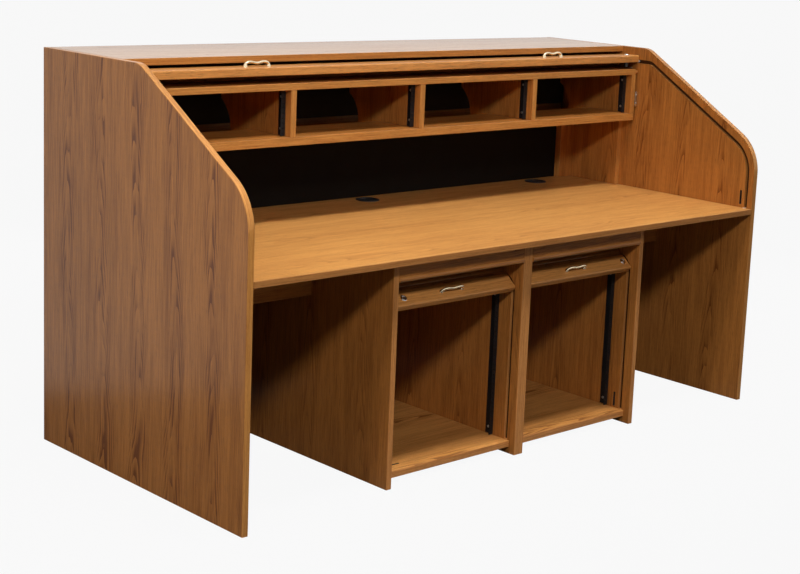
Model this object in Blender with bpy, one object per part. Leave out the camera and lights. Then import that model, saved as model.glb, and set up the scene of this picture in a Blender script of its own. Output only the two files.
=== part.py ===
"""Roll-top operator console for audio-visual gear.

A desk 2.1 m wide between two shaped end panels. Four rack bays hang over the
desk and two taller rack bays stand under it. A slatted curtain closes the desk
and a smaller one closes each lower bay; they run in grooves cut in the panels.
Everything is shown open: the lead bars are up and the curtains are stored.

Metres, +Z up, +X to the operator's right, the operator stands on the -Y side.
The origin is on the floor under the middle of the console. Distances called
"from the front" run backwards from the front edges of the end panels.
"""
import math

import bmesh
import bpy
from mathutils import Matrix, Vector

# Gaps and eased edges
FIT = 0.0003
EASE = 0.0012
SMALL_EASE = 0.0005

# End panels, seen from the side
HEIGHT = 1.170
DEPTH = 0.993
END_PANEL = 0.020
FRONT_EDGE_HEIGHT = 0.876
SLOPE_SETBACK = 0.499
LOWER_CORNER_RADIUS = 0.150
UPPER_CORNER_RADIUS = 0.075

# Top, desk and back
TOP_PANEL = 0.020
TOP_TO_BAR = 0.012
DESK_HEIGHT = 0.670
DESK = 0.019
DESK_TO_REAR = 0.137
BACK_PANEL = 0.019
BACK_LIFT = 0.040

# Groove of the main curtain in the end panels
TRACK_WIDTH = 0.013
TRACK_DEPTH = 0.010
TRACK_FRONT_INSET = 0.027
TRACK_SLOPE_INSET = 0.032
TRACK_TOP_INSET = 0.049
TRACK_REAR_INSET = 0.088
TRACK_LOWER_RADIUS = 0.120
TRACK_UPPER_RADIUS = 0.040
TRACK_REAR_RADIUS = 0.090
TRACK_SPARE = 0.025

# Main lead bar, along the curtain and across it from the groove's centre line
MAIN_BAR_WIDTH = 0.065
MAIN_BAR_OUTSIDE = 0.022
MAIN_BAR_INSIDE = 0.003
MAIN_BAR_SIDE_GAP = 0.0015
MAIN_BAR_FLOOR_GAP = 0.002
BAR_ROUND = 0.004
MAIN_PULL_OFFSET = 0.620

# Slatted curtains
SLAT_GAP = 0.0006
CANVAS = 0.001
TONGUE_DEPTH = 0.008
CANVAS_MARGIN = 0.016
MAIN_SLAT_PITCH = 0.018
MAIN_SLAT = 0.010
MAIN_SLATS = 44
DOOR_SLAT_PITCH = 0.014
DOOR_SLAT = 0.008
DOOR_SLATS = 34
CROWN = 0.0016

# Overhead rack unit
RACK_BAY = 0.488
OVERHEAD_BAYS = 4
OVERHEAD_BOARD = 0.020
OVERHEAD_SIDE_GAP = 0.012
OVERHEAD_BEHIND_SLOPE = 0.036
OVERHEAD_OPENING = 0.138
OVERHEAD_TOP_BOARD = 0.020
OVERHEAD_BOTTOM_BOARD = 0.025
OVERHEAD_SHELF_DEPTH = 0.200
OVERHEAD_TO_REAR = 0.113
OVERHEAD_TOP_SETBACK = 0.030
OVERHEAD_BACK = 0.004
BAR_TO_OVERHEAD = 0.024
RELIEF_RADIUS = 0.110
RELIEF_BEHIND = 0.060
RELIEF_RISE = 0.011

# Legs and back of the work space
LEG = 0.020
LEG_SETBACK = 0.060
STILE_TO_DESK_REAR = 0.044
STILE = 0.025
STILE_WIDTH = 0.086
LINER = 0.006

# Rack rails
RAIL_SIDE = 0.030
RAIL_FACE = 0.016
RAIL_WALL = 0.002
RAIL_HOLE = 0.0055
RAIL_HOLE_SIDES = 6
RACK_UNIT = 0.04445
RACK_HOLE_STEP = 0.015875
OVERHEAD_RAIL_SETBACK = 0.026
DOOR_RAIL_FRONT = 0.137
DOOR_RAIL_TOP = 0.500
RAIL_END_GAP = 0.002

# Pedestal with two rack bays
PEDESTAL_FRONT = 0.043
PEDESTAL_TO_GROMMET = 0.008
PEDESTAL_BAY = 0.493
PEDESTAL_SIDE = 0.019
PEDESTAL_CENTRE = 0.037
SHELF_BOTTOM = 0.022
SHELF = 0.020
SHELF_FRONT = 0.065
HEADER = 0.019
HEADER_HEIGHT = 0.041
TRIM_HEIGHT = 0.014
TRIM_PROUD = 0.005
KNEE_RAIL = 0.019
KNEE_RAIL_FRONT = 0.400
KNEE_RAIL_HEIGHT = 0.158

# Groove, guide rod and lead bar of the pedestal doors
DOOR_TRACK_FRONT = 0.082
DOOR_TRACK_HEIGHT = 0.547
DOOR_TRACK_RADIUS = 0.045
DOOR_TRACK_SPARE = 0.012
DOOR_TRACK_WIDTH = 0.014
DOOR_TRACK_DEPTH = 0.009
DOOR_BAR_TILT = math.radians(49.5)
DOOR_BAR_TRAVEL = 0.465
DOOR_BAR_NOSE = 0.009
DOOR_BAR_TAIL = 0.045
DOOR_BAR_OUTSIDE = 0.008
DOOR_BAR_INSIDE = 0.014
DOOR_BAR_SIDE_GAP = 0.0015
DOOR_BAR_FLOOR_GAP = 0.001
DOOR_CURTAIN_START = 0.122
GUIDE_ROD = 0.006
ROD_CLEARANCE = 0.0004
ROD_END_GAP = 0.001

# Bow pulls
PULL_CENTRES = 0.076
PULL_HEIGHT = 0.0185
PULL_ROD = 0.0034
PULL_FOOT = 0.0066
PULL_FOOT_HEIGHT = 0.005
PULL_DIP = 0.004
PULL_DIP_SPREAD = 0.42
PULL_SQUARENESS = (0.62, 0.55)

# Key locks
LOCK_BARREL = 0.016
LOCK_FLANGE = 0.021
LOCK_FLANGE_HEIGHT = 0.002
LOCK_PLUG = 0.011
LOCK_CLEARANCE = 0.0003
CAM = 0.0025
CAM_WIDTH = 0.012
CAM_HEEL_SHARE = 0.98
KEYWAY = (0.0012, 0.006, 0.002)
CAM_WALL_GAP = 0.001
MAIN_LOCK_BEHIND = 0.0175
MAIN_LOCK_FROM_SIDE = 0.031
DOOR_LOCK_BEHIND = 0.0115
LEFT_LOCK_FROM_SIDE = 0.061
RIGHT_LOCK_FROM_SIDE = 0.022
LEFT_CAM_IN_SHELF = 0.005
STRIKE_WIDTH = 0.008
STRIKE_DEPTH = 0.012
STRIKE_LENGTH = 0.048

# Cable grommets
GROMMET_HOLE = 0.064
GROMMET_FLANGE = 0.078
GROMMET_FLANGE_HEIGHT = 0.0025
GROMMET_WALL = 0.003
GROMMET_FIT = 0.0006
GROMMET_NOTCH = (0.022, 0.014)
GROMMET_TO_DESK_REAR = 0.074
GROMMET_FROM_PANEL = 0.242

# Facets of curved work
OUTLINE_STEP = math.radians(5.0)
RELIEF_STEP = math.radians(8.0)
TRACK_STEP = math.radians(9.0)
SOFT_STEP = math.radians(30.0)
SMOOTH_ANGLE = math.radians(35.0)
ROUND_SIDES = 14
LOCK_SIDES = 12
GROMMET_SIDES = 16
PULL_STEPS = 14
PULL_SIDES = 6

# Sizes that follow
OVERHEAD_SPAN = OVERHEAD_BAYS * (RACK_BAY + OVERHEAD_BOARD) + OVERHEAD_BOARD
INNER_WIDTH = OVERHEAD_SPAN + 2 * OVERHEAD_SIDE_GAP
HALF_WIDTH = INNER_WIDTH / 2
DESK_UNDERSIDE = DESK_HEIGHT - DESK
DESK_DEPTH = DEPTH - DESK_TO_REAR
OVERHEAD_FRONT = SLOPE_SETBACK + OVERHEAD_BEHIND_SLOPE
OVERHEAD_REAR = DEPTH - OVERHEAD_TO_REAR
MAIN_BAR_NOSE = OVERHEAD_FRONT
TOP_FRONT = MAIN_BAR_NOSE + MAIN_BAR_WIDTH + TOP_TO_BAR
STILE_FRONT = DESK_DEPTH - STILE_TO_DESK_REAR
GROMMET_SPACING = HALF_WIDTH - GROMMET_FROM_PANEL
GROMMET_ROW = DESK_DEPTH - GROMMET_TO_DESK_REAR
PEDESTAL_REAR = GROMMET_ROW - GROMMET_FLANGE / 2 - PEDESTAL_TO_GROMMET
TRACK_HEIGHT = HEIGHT - TRACK_TOP_INSET
TRACK_REAR = DEPTH - TRACK_REAR_INSET
TRACK_FOOT = DESK_HEIGHT + MAIN_BAR_FLOOR_GAP
OVERHEAD_TOP = TRACK_HEIGHT - MAIN_BAR_INSIDE - BAR_TO_OVERHEAD
OPENING_TOP = OVERHEAD_TOP - OVERHEAD_TOP_BOARD
OPENING_BOTTOM = OPENING_TOP - OVERHEAD_OPENING
OVERHEAD_BOTTOM = OPENING_BOTTOM - OVERHEAD_BOTTOM_BOARD
SLOPE = math.atan2(HEIGHT - FRONT_EDGE_HEIGHT, SLOPE_SETBACK)
SHELF_TOP = SHELF_BOTTOM + SHELF
DOOR_ROD_CLOSED = SHELF_TOP + DOOR_BAR_FLOOR_GAP + DOOR_BAR_NOSE
DOOR_ROD_OPEN = DOOR_ROD_CLOSED + DOOR_BAR_TRAVEL
PEDESTAL_HALF = PEDESTAL_CENTRE / 2 + PEDESTAL_BAY + PEDESTAL_SIDE
MAIN_PULL_ALONG = MAIN_BAR_WIDTH / 2
DOOR_PULL_ALONG = (DOOR_BAR_TAIL - DOOR_BAR_NOSE) / 2

# Colour, roughness and metallic value of each finish
FINISHES = {
    "oak": ((0.42, 0.20, 0.065), 0.42, 0.0),
    "black_board": ((0.010, 0.009, 0.008), 0.80, 0.0),
    "black_steel": ((0.012, 0.012, 0.012), 0.45, 0.7),
    "brass": ((0.78, 0.62, 0.38), 0.22, 1.0),
    "nickel": ((0.70, 0.69, 0.66), 0.25, 1.0),
    "steel": ((0.55, 0.55, 0.54), 0.35, 1.0),
    "black_plastic": ((0.015, 0.015, 0.015), 0.50, 0.0),
}


def clear_scene():
    """Remove every object that the file already holds."""
    for obj in list(bpy.data.objects):
        bpy.data.objects.remove(obj, do_unlink=True)


def depth(distance):
    """World Y of a distance behind the front edges."""
    return distance - DEPTH / 2


def finish(name, kind):
    """A Principled material for one piece."""
    colour, roughness, metallic = FINISHES[kind]
    material = bpy.data.materials.new(name + "_" + kind)
    material.use_nodes = True
    shader = material.node_tree.nodes["Principled BSDF"]
    shader.inputs["Base Color"].default_value = (*colour, 1.0)
    shader.inputs["Roughness"].default_value = roughness
    shader.inputs["Metallic"].default_value = metallic
    material.diffuse_color = (*colour, 1.0)
    return material


def add_object(name, mesh_data, kind, smooth=False):
    """Link a bmesh as a named object with its own material."""
    bmesh.ops.recalc_face_normals(mesh_data, faces=mesh_data.faces)
    mesh = bpy.data.meshes.new(name)
    mesh_data.to_mesh(mesh)
    mesh_data.free()
    obj = bpy.data.objects.new(name, mesh)
    bpy.context.scene.collection.objects.link(obj)
    mesh.materials.append(finish(name, kind))
    if smooth:
        mesh.shade_smooth()
        mesh.set_sharp_from_angle(angle=SMOOTH_ANGLE)
    return obj


def add_empty(name, location, parent=None, tilt=0.0):
    """An empty on a joint axis, turned about X by tilt."""
    empty = bpy.data.objects.new(name, None)
    bpy.context.scene.collection.objects.link(empty)
    empty.parent = parent
    empty.location = location
    empty.rotation_euler = (tilt, 0.0, 0.0)
    empty.empty_display_size = 0.03
    return empty


def as_cutter(obj):
    """Mark an object as a cutting tool, which is no part of the console."""
    obj.hide_render = True
    obj.display_type = "WIRE"
    return obj


def cut(target, cutter):
    """Take a cutter out of a solid."""
    modifier = target.modifiers.new("Cut_" + cutter.name, "BOOLEAN")
    modifier.operation = "DIFFERENCE"
    modifier.solver = "EXACT"
    modifier.object = as_cutter(cutter)


def join(target, tool):
    """Fuse a second solid, which overlaps the first, into it."""
    modifier = target.modifiers.new("Join_" + tool.name, "BOOLEAN")
    modifier.operation = "UNION"
    modifier.solver = "EXACT"
    modifier.object = as_cutter(tool)


def board(name, x, y, z, kind="oak", ease=EASE):
    """A flat board between two X, two distances from the front and two heights."""
    low = Vector((x[0], depth(y[0]), z[0]))
    high = Vector((x[1], depth(y[1]), z[1]))
    size = high - low
    shape = bmesh.new()
    bmesh.ops.create_cube(shape, size=1.0)
    bmesh.ops.scale(shape, vec=size, verts=shape.verts)
    if ease:
        bmesh.ops.bevel(shape, geom=shape.edges[:], offset=ease, segments=1, affect="EDGES")
    obj = add_object(name, shape, kind)
    obj.location = (low + high) / 2
    return obj


def arc_points(before, corner, after, radius, step):
    """Round one corner: the points of the arc that touches both its sides."""
    to_before = (before - corner).normalized()
    to_after = (after - corner).normalized()
    half = to_before.angle(to_after) / 2
    reach = radius / math.tan(half)
    centre = corner + (to_before + to_after).normalized() * radius / math.sin(half)
    start = corner + to_before * reach - centre
    turn = math.pi - 2 * half
    if to_before.cross(to_after) > 0:
        turn = -turn
    count = max(2, math.ceil(abs(turn) / step))
    turns = [Matrix.Rotation(turn * i / count, 2) for i in range(count + 1)]
    return [centre + rotation @ start for rotation in turns]


def rounded(corners, step, closed=False):
    """A line through corners given as (y, z, radius), with each corner rounded."""
    points = [Vector(corner[:2]) for corner in corners]
    line = []
    for index, corner in enumerate(corners):
        at_end = not closed and index in (0, len(corners) - 1)
        if at_end or corner[2] == 0:
            line.append(points[index])
        else:
            following = points[(index + 1) % len(points)]
            line += arc_points(points[index - 1], points[index], following, corner[2], step)
    return line


def offset_line(line, distance, closed=False):
    """The same line moved sideways, to the left of its direction when positive."""
    moved = []
    count = len(line)
    for index, point in enumerate(line):
        before = line[index - 1] if closed or index else point
        after = line[(index + 1) % count] if closed or index < count - 1 else point
        into = (point - before).normalized() if before != point else (after - point).normalized()
        out = (after - point).normalized() if after != point else into
        across = Vector((-into.y - out.y, into.x + out.x)).normalized()
        share = across.dot(Vector((-into.y, into.x)))
        moved.append(point + across * distance / share)
    return moved


def ribbon(line, width):
    """The closed outline of a band of one width along a line."""
    return offset_line(line, width / 2) + offset_line(line, -width / 2)[::-1]


def prism(name, outline, low, high, kind="oak", ease=0.0, smooth=False):
    """Push an outline in the YZ plane from one X to another, with eased rims."""
    inner = offset_line(outline, ease, closed=True) if ease else outline
    if ease and area(inner) > area(outline):
        inner = offset_line(outline, -ease, closed=True)
    levels = [(low, inner), (low + ease, outline), (high - ease, outline), (high, inner)]
    if not ease:
        levels = [levels[0], levels[3]]
    shape = bmesh.new()
    rings = [[shape.verts.new((x, p.x, p.y)) for p in line] for x, line in levels]
    count = len(outline)
    for first, second in zip(rings, rings[1:]):
        for i in range(count):
            j = (i + 1) % count
            shape.faces.new((first[i], first[j], second[j], second[i]))
    shape.faces.new(rings[0])
    shape.faces.new(rings[-1])
    return add_object(name, shape, kind, smooth)


def area(outline):
    """The size of a closed outline."""
    following = outline[1:] + outline[:1]
    return abs(sum(a.cross(b) for a, b in zip(outline, following))) / 2


def turned(name, profile, kind, sides=ROUND_SIDES, smooth=True):
    """Turn a closed profile of (radius, height) points about the local Z axis."""
    shape = bmesh.new()
    rings = []
    for radius, height in profile:
        if radius == 0:
            rings.append([shape.verts.new((0, 0, height))] * sides)
            continue
        angles = [2 * math.pi * i / sides for i in range(sides)]
        ring = [(radius * math.cos(a), radius * math.sin(a), height) for a in angles]
        rings.append([shape.verts.new(point) for point in ring])
    last = len(rings) if profile[0][0] else len(rings) - 1
    for index in range(last):
        first, second = rings[index], rings[(index + 1) % len(rings)]
        for i in range(sides):
            j = (i + 1) % sides
            corners = dict.fromkeys((first[i], first[j], second[j], second[i]))
            shape.faces.new(tuple(corners))
    return add_object(name, shape, kind, smooth)


def cylinder(name, radius, low, high, kind="steel", sides=ROUND_SIDES):
    """A plain round bar along the local Z axis."""
    return turned(name, [(0, low), (radius, low), (radius, high), (0, high)], kind, sides)


def end_outline():
    """The shaped outline of an end panel, with its two rounded corners."""
    corners = [
        (depth(0), 0, 0),
        (depth(DEPTH), 0, 0),
        (depth(DEPTH), HEIGHT, 0),
        (depth(SLOPE_SETBACK), HEIGHT, UPPER_CORNER_RADIUS),
        (depth(0), FRONT_EDGE_HEIGHT, LOWER_CORNER_RADIUS),
    ]
    return rounded(corners, OUTLINE_STEP, closed=True)


def main_track():
    """Centre line of the main groove, from the desk up, back and down behind."""
    rise = math.tan(SLOPE)
    inset = FRONT_EDGE_HEIGHT - TRACK_SLOPE_INSET / math.cos(SLOPE)
    lower = inset + TRACK_FRONT_INSET * rise
    upper = (TRACK_HEIGHT - inset) / rise
    corners = [
        (depth(TRACK_FRONT_INSET), DESK_HEIGHT + FIT, 0),
        (depth(TRACK_FRONT_INSET), lower, TRACK_LOWER_RADIUS),
        (depth(upper), TRACK_HEIGHT, TRACK_UPPER_RADIUS),
        (depth(TRACK_REAR), TRACK_HEIGHT, TRACK_REAR_RADIUS),
        (depth(TRACK_REAR), DESK_HEIGHT, 0),
    ]
    line = rounded(corners, TRACK_STEP)
    used = main_curtain_start(line) + MAIN_SLATS * MAIN_SLAT_PITCH + TRACK_SPARE
    line[-1] = line[-2] + Vector((0, line_length(line[:-1]) - used))
    return line


def main_curtain_start(line):
    """How far along the groove the stored curtain starts, just behind the open bar."""
    return distance_to(line, depth(MAIN_BAR_NOSE + MAIN_BAR_WIDTH) + SLAT_GAP)


def door_track():
    """Centre line of a door groove, up from the shelf and back under the desk."""
    rear = DOOR_CURTAIN_START + DOOR_SLATS * DOOR_SLAT_PITCH + DOOR_TRACK_SPARE
    corners = [
        (depth(DOOR_TRACK_FRONT), SHELF_TOP + FIT, 0),
        (depth(DOOR_TRACK_FRONT), DOOR_TRACK_HEIGHT, DOOR_TRACK_RADIUS),
        (depth(rear), DOOR_TRACK_HEIGHT, 0),
    ]
    return rounded(corners, TRACK_STEP)


def strike(name, face, side, distance, height):
    """An upright slot for a lock cam, sunk in a face that looks towards the cam."""
    span = sorted((face - side * FIT, face + side * STRIKE_DEPTH))
    half = STRIKE_WIDTH / 2
    reach = STRIKE_LENGTH / 2
    return board(name, span, (distance - half, distance + half),
                 (height - reach, height + reach), ease=0)


def floor_strike(name, x, distance, top):
    """A level slot for a lock cam that turns down into a shelf."""
    half = STRIKE_WIDTH / 2
    reach = STRIKE_LENGTH / 2
    return board(name, (x - reach, x + reach), (distance - half, distance + half),
                 (top - STRIKE_DEPTH, top + FIT), ease=0)


def build_end_panels():
    """Both end panels, grooved inside; the right one takes the main lock's cam."""
    groove = ribbon(main_track(), TRACK_WIDTH)
    slot_distance = TRACK_FRONT_INSET + MAIN_LOCK_BEHIND + MAIN_BAR_INSIDE + CAM / 2
    slot_height = TRACK_FOOT + MAIN_BAR_WIDTH / 2
    for side, label in ((-1, "left"), (1, "right")):
        span = sorted((side * HALF_WIDTH, side * (HALF_WIDTH + END_PANEL)))
        panel = prism("end_panel_" + label, end_outline(), *span, ease=EASE, smooth=True)
        sunk = sorted((side * (HALF_WIDTH - FIT), side * (HALF_WIDTH + TRACK_DEPTH)))
        cut(panel, prism("main_groove_" + label, groove, *sunk))
        if side > 0:
            cut(panel, strike("main_strike", HALF_WIDTH, side, slot_distance, slot_height))


def build_top_and_back():
    """The top panel and the rear panel between the end panels."""
    inside = (-HALF_WIDTH + FIT, HALF_WIDTH - FIT)
    board("top_panel", inside, (TOP_FRONT, DEPTH), (HEIGHT - TOP_PANEL, HEIGHT))
    board("rear_panel", inside, (DEPTH - BACK_PANEL, DEPTH),
          (BACK_LIFT, HEIGHT - TOP_PANEL - FIT))


def grommet_places():
    """Plan places of the three cable holes in the desk."""
    row = depth(GROMMET_ROW)
    return [("left", -GROMMET_SPACING, row), ("centre", 0, row), ("right", GROMMET_SPACING, row)]


def build_desk():
    """The desktop, its cable holes and the capped grommets in them."""
    inside = (-HALF_WIDTH + FIT, HALF_WIDTH - FIT)
    desk = board("desktop", inside, (0, DESK_DEPTH), (DESK_UNDERSIDE, DESK_HEIGHT))
    for label, x, y in grommet_places():
        hole = cylinder("hole_" + label, GROMMET_HOLE / 2, DESK_UNDERSIDE - DESK,
                        DESK_HEIGHT + DESK, sides=GROMMET_SIDES)
        hole.location = (x, y, 0)
        cut(desk, hole)
        build_grommet("grommet_" + label, x, y)


def build_grommet(name, x, y):
    """A flanged liner with its cap, notched at the back for cables."""
    tube = GROMMET_HOLE / 2 - GROMMET_FIT
    bore = tube - GROMMET_WALL
    flange = GROMMET_FLANGE / 2
    foot = -DESK - GROMMET_WALL
    profile = [
        (0, GROMMET_FLANGE_HEIGHT),
        (flange - GROMMET_FLANGE_HEIGHT, GROMMET_FLANGE_HEIGHT),
        (flange, FIT),
        (tube, FIT),
        (tube, foot),
        (bore, foot),
        (bore, -GROMMET_FLANGE_HEIGHT),
        (0, -GROMMET_FLANGE_HEIGHT),
    ]
    grommet = turned(name, profile, "black_plastic", GROMMET_SIDES)
    grommet.location = (x, y, DESK_HEIGHT)
    width, length = GROMMET_NOTCH
    rear = y + bore - GROMMET_WALL / 2 + DEPTH / 2
    notch = board(name + "_notch", (x - width / 2, x + width / 2), (rear - length, rear),
                  (DESK_HEIGHT - GROMMET_WALL * 2, DESK_HEIGHT + GROMMET_WALL * 2), ease=0)
    cut(grommet, notch)


def divider_outline():
    """Side view of an upright of the overhead unit, hollowed low at the back."""
    centre = Vector((depth(OVERHEAD_REAR + RELIEF_BEHIND), OVERHEAD_BOTTOM + RELIEF_RISE))
    low = OVERHEAD_BOTTOM
    reach = RELIEF_BEHIND
    start = math.pi + math.asin(RELIEF_RISE / RELIEF_RADIUS)
    stop = math.pi - math.acos(reach / RELIEF_RADIUS)
    count = math.ceil((start - stop) / RELIEF_STEP)
    relief = []
    for i in range(count + 1):
        angle = start + (stop - start) * i / count
        relief.append(centre + RELIEF_RADIUS * Vector((math.cos(angle), math.sin(angle))))
    shelf_rear = depth(OVERHEAD_FRONT + OVERHEAD_SHELF_DEPTH) + FIT
    return [
        Vector((depth(OVERHEAD_FRONT), OPENING_BOTTOM + FIT)),
        Vector((shelf_rear, OPENING_BOTTOM + FIT)),
        Vector((shelf_rear, low)),
        *relief,
        Vector((depth(OVERHEAD_REAR), OPENING_TOP - FIT)),
        Vector((depth(OVERHEAD_FRONT), OPENING_TOP - FIT)),
    ]


def overhead_board_places():
    """Names and left faces of the five uprights of the overhead unit."""
    labels = ["end_left", "divider_left", "divider_centre", "divider_right", "end_right"]
    first = -OVERHEAD_SPAN / 2
    step = RACK_BAY + OVERHEAD_BOARD
    return [("overhead_" + label, first + step * i) for i, label in enumerate(labels)]


def build_overhead():
    """The overhead rack unit: two long boards, five uprights and a black back."""
    half = OVERHEAD_SPAN / 2
    shelf_rear = OVERHEAD_FRONT + OVERHEAD_SHELF_DEPTH
    top_rear = OVERHEAD_REAR - OVERHEAD_TOP_SETBACK
    board("overhead_top_board", (-half, half), (OVERHEAD_FRONT, top_rear),
          (OPENING_TOP, OVERHEAD_TOP))
    board("overhead_bottom_board", (-half, half), (OVERHEAD_FRONT, shelf_rear),
          (OVERHEAD_BOTTOM, OPENING_BOTTOM))
    for name, left in overhead_board_places():
        prism(name, divider_outline(), left, left + OVERHEAD_BOARD, ease=SMALL_EASE)
    back = OVERHEAD_REAR + FIT
    board("overhead_back", (-half, half), (back, back + OVERHEAD_BACK),
          (OPENING_BOTTOM, OPENING_TOP - FIT), "black_board", SMALL_EASE)


def extrude_plan(name, plan, low, high, kind):
    """Raise an outline in the XY plane from one height to another."""
    shape = bmesh.new()
    rings = [[shape.verts.new((x, y, z)) for x, y in plan] for z in (low, high)]
    for i in range(len(plan)):
        j = (i + 1) % len(plan)
        shape.faces.new((rings[0][i], rings[0][j], rings[1][j], rings[1][i]))
    for ring in rings:
        shape.faces.new(ring)
    return add_object(name, shape, kind)


def build_rail(name, face, side, front, low, high):
    """An angle rail on a board's face, with three holes to each rack unit.

    side is +1 where the bay lies to the right of the face.
    """
    wall = RAIL_WALL
    start = face + side * FIT
    plan = [
        (start, front), (start + side * RAIL_FACE, front),
        (start + side * RAIL_FACE, front + wall), (start + side * wall, front + wall),
        (start + side * wall, front + RAIL_SIDE), (start, front + RAIL_SIDE),
    ]
    rail = extrude_plan(name, plan, low, high, "black_steel")
    units = math.floor((high - low) / RACK_UNIT)
    first = low + (high - low - units * RACK_UNIT) / 2 + RACK_UNIT / 2
    middle = start + side * (RAIL_FACE + wall) / 2
    drill = bmesh.new()
    for unit in range(units):
        for hole in (-1, 0, 1):
            height = first + unit * RACK_UNIT + hole * RACK_HOLE_STEP
            place = Matrix.Translation((middle, front + wall / 2, height))
            turn = Matrix.Rotation(math.radians(90), 4, "X")
            bmesh.ops.create_cone(drill, cap_ends=True, segments=RAIL_HOLE_SIDES,
                                  radius1=RAIL_HOLE / 2, radius2=RAIL_HOLE / 2,
                                  depth=wall * 2, matrix=place @ turn)
    cut(rail, add_object(name + "_holes", drill, "black_steel"))
    return rail


def build_rails():
    """Rails on both sides of the four upper bays and the two lower bays."""
    front = depth(OVERHEAD_FRONT + OVERHEAD_RAIL_SETBACK)
    low = OPENING_BOTTOM + RAIL_END_GAP
    high = OPENING_TOP - RAIL_END_GAP
    for bay, (_, left) in enumerate(overhead_board_places()[:-1], start=1):
        face = left + OVERHEAD_BOARD
        build_rail(f"overhead_rail_{bay}_left", face, 1, front, low, high)
        build_rail(f"overhead_rail_{bay}_right", face + RACK_BAY, -1, front, low, high)
    for label, left in pedestal_bays():
        front = depth(DOOR_RAIL_FRONT)
        low = SHELF_TOP + RAIL_END_GAP
        build_rail(f"door_{label}_rail_left", left, 1, front, low, DOOR_RAIL_TOP)
        build_rail(f"door_{label}_rail_right", left + PEDESTAL_BAY, -1, front, low,
                   DOOR_RAIL_TOP)


def build_work_space():
    """Legs under the overhead unit, the stiles behind them and the black liner."""
    span = (DESK_HEIGHT + FIT, OVERHEAD_BOTTOM - FIT)
    for side, label in ((-1, "left"), (1, "right")):
        outer = side * (HALF_WIDTH - FIT)
        leg = sorted((outer, outer - side * LEG))
        board("overhead_leg_" + label, leg, (OVERHEAD_FRONT + LEG_SETBACK, STILE_FRONT - FIT),
              span)
        stile = sorted((outer, outer - side * STILE_WIDTH))
        board("back_stile_" + label, stile, (STILE_FRONT, STILE_FRONT + STILE), span)
    front = STILE_FRONT + STILE + FIT
    board("back_liner", (-HALF_WIDTH + FIT, HALF_WIDTH - FIT), (front, front + LINER), span,
          "black_board", SMALL_EASE)


def pedestal_bays():
    """Left faces of the two lower bays."""
    half = PEDESTAL_CENTRE / 2
    return [("left", -half - PEDESTAL_BAY), ("right", half)]


def build_pedestal():
    """Uprights, shelves and headers of the two lower bays."""
    uprights = [
        ("pedestal_side_left", -PEDESTAL_HALF, PEDESTAL_SIDE),
        ("pedestal_centre", -PEDESTAL_CENTRE / 2, PEDESTAL_CENTRE),
        ("pedestal_side_right", PEDESTAL_HALF - PEDESTAL_SIDE, PEDESTAL_SIDE),
    ]
    panels = {}
    for name, left, thickness in uprights:
        panels[name] = board(name, (left, left + thickness), (PEDESTAL_FRONT, PEDESTAL_REAR),
                             (0, DESK_UNDERSIDE - FIT))
    groove = ribbon(door_track(), DOOR_TRACK_WIDTH)
    for label, left in pedestal_bays():
        right = left + PEDESTAL_BAY
        outer = "pedestal_side_" + label
        owners = (outer, "pedestal_centre") if label == "left" else ("pedestal_centre", outer)
        for side, face, owner in ((-1, left, owners[0]), (1, right, owners[1])):
            sunk = sorted((face - side * FIT, face + side * DOOR_TRACK_DEPTH))
            groove_name = f"door_{label}_groove_{'left' if side < 0 else 'right'}"
            cut(panels[owner], prism(groove_name, groove, *sunk))
        shelf = build_bay_front(label, left, right)
        distance = DOOR_TRACK_FRONT + DOOR_BAR_INSIDE + DOOR_LOCK_BEHIND + CAM / 2
        if label == "left":
            cut(shelf, floor_strike("door_left_strike", left + LEFT_LOCK_FROM_SIDE, distance,
                                    SHELF_TOP))
        else:
            height = DOOR_ROD_CLOSED + DOOR_PULL_ALONG
            cut(panels[outer], strike("door_right_strike", right, 1, distance, height))


def build_bay_front(label, left, right):
    """The shelf of one lower bay, and its header with a nosed moulding below."""
    span = (left + FIT, right - FIT)
    shelf = board("shelf_" + label, span, (SHELF_FRONT, PEDESTAL_REAR),
                  (SHELF_BOTTOM, SHELF_TOP))
    top = DESK_UNDERSIDE - FIT
    low = top - HEADER_HEIGHT
    nose = TRIM_HEIGHT / 2 - FIT
    face, rear = depth(PEDESTAL_FRONT), depth(PEDESTAL_FRONT + HEADER)
    proud = depth(PEDESTAL_FRONT - TRIM_PROUD)
    corners = [
        (face, top, 0),
        (face, low, 0),
        (proud, low, nose),
        (proud, low - TRIM_HEIGHT, nose),
        (rear, low - TRIM_HEIGHT, 0),
        (rear, top, 0),
    ]
    outline = rounded(corners, TRACK_STEP * 2, closed=True)
    prism("header_" + label, outline, *span, smooth=True)
    return shelf


def build_knee_rails():
    """A stiffening rail under the desk on each side of the pedestal."""
    heights = (DESK_UNDERSIDE - FIT - KNEE_RAIL_HEIGHT, DESK_UNDERSIDE - FIT)
    distance = (KNEE_RAIL_FRONT, KNEE_RAIL_FRONT + KNEE_RAIL)
    reach = (PEDESTAL_HALF + FIT, HALF_WIDTH - FIT)
    board("knee_rail_left", (-reach[1], -reach[0]), distance, heights)
    board("knee_rail_right", reach, distance, heights)


def bar_outline(nose, tail, inside, outside):
    """Section of a lead bar along and across the curtain, with soft corners."""
    corners = [
        (-nose, -inside, BAR_ROUND / 2),
        (tail, -inside, BAR_ROUND / 4),
        (tail, outside, BAR_ROUND / 2),
        (-nose, outside, BAR_ROUND),
    ]
    return rounded(corners, SOFT_STEP, closed=True)


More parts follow.
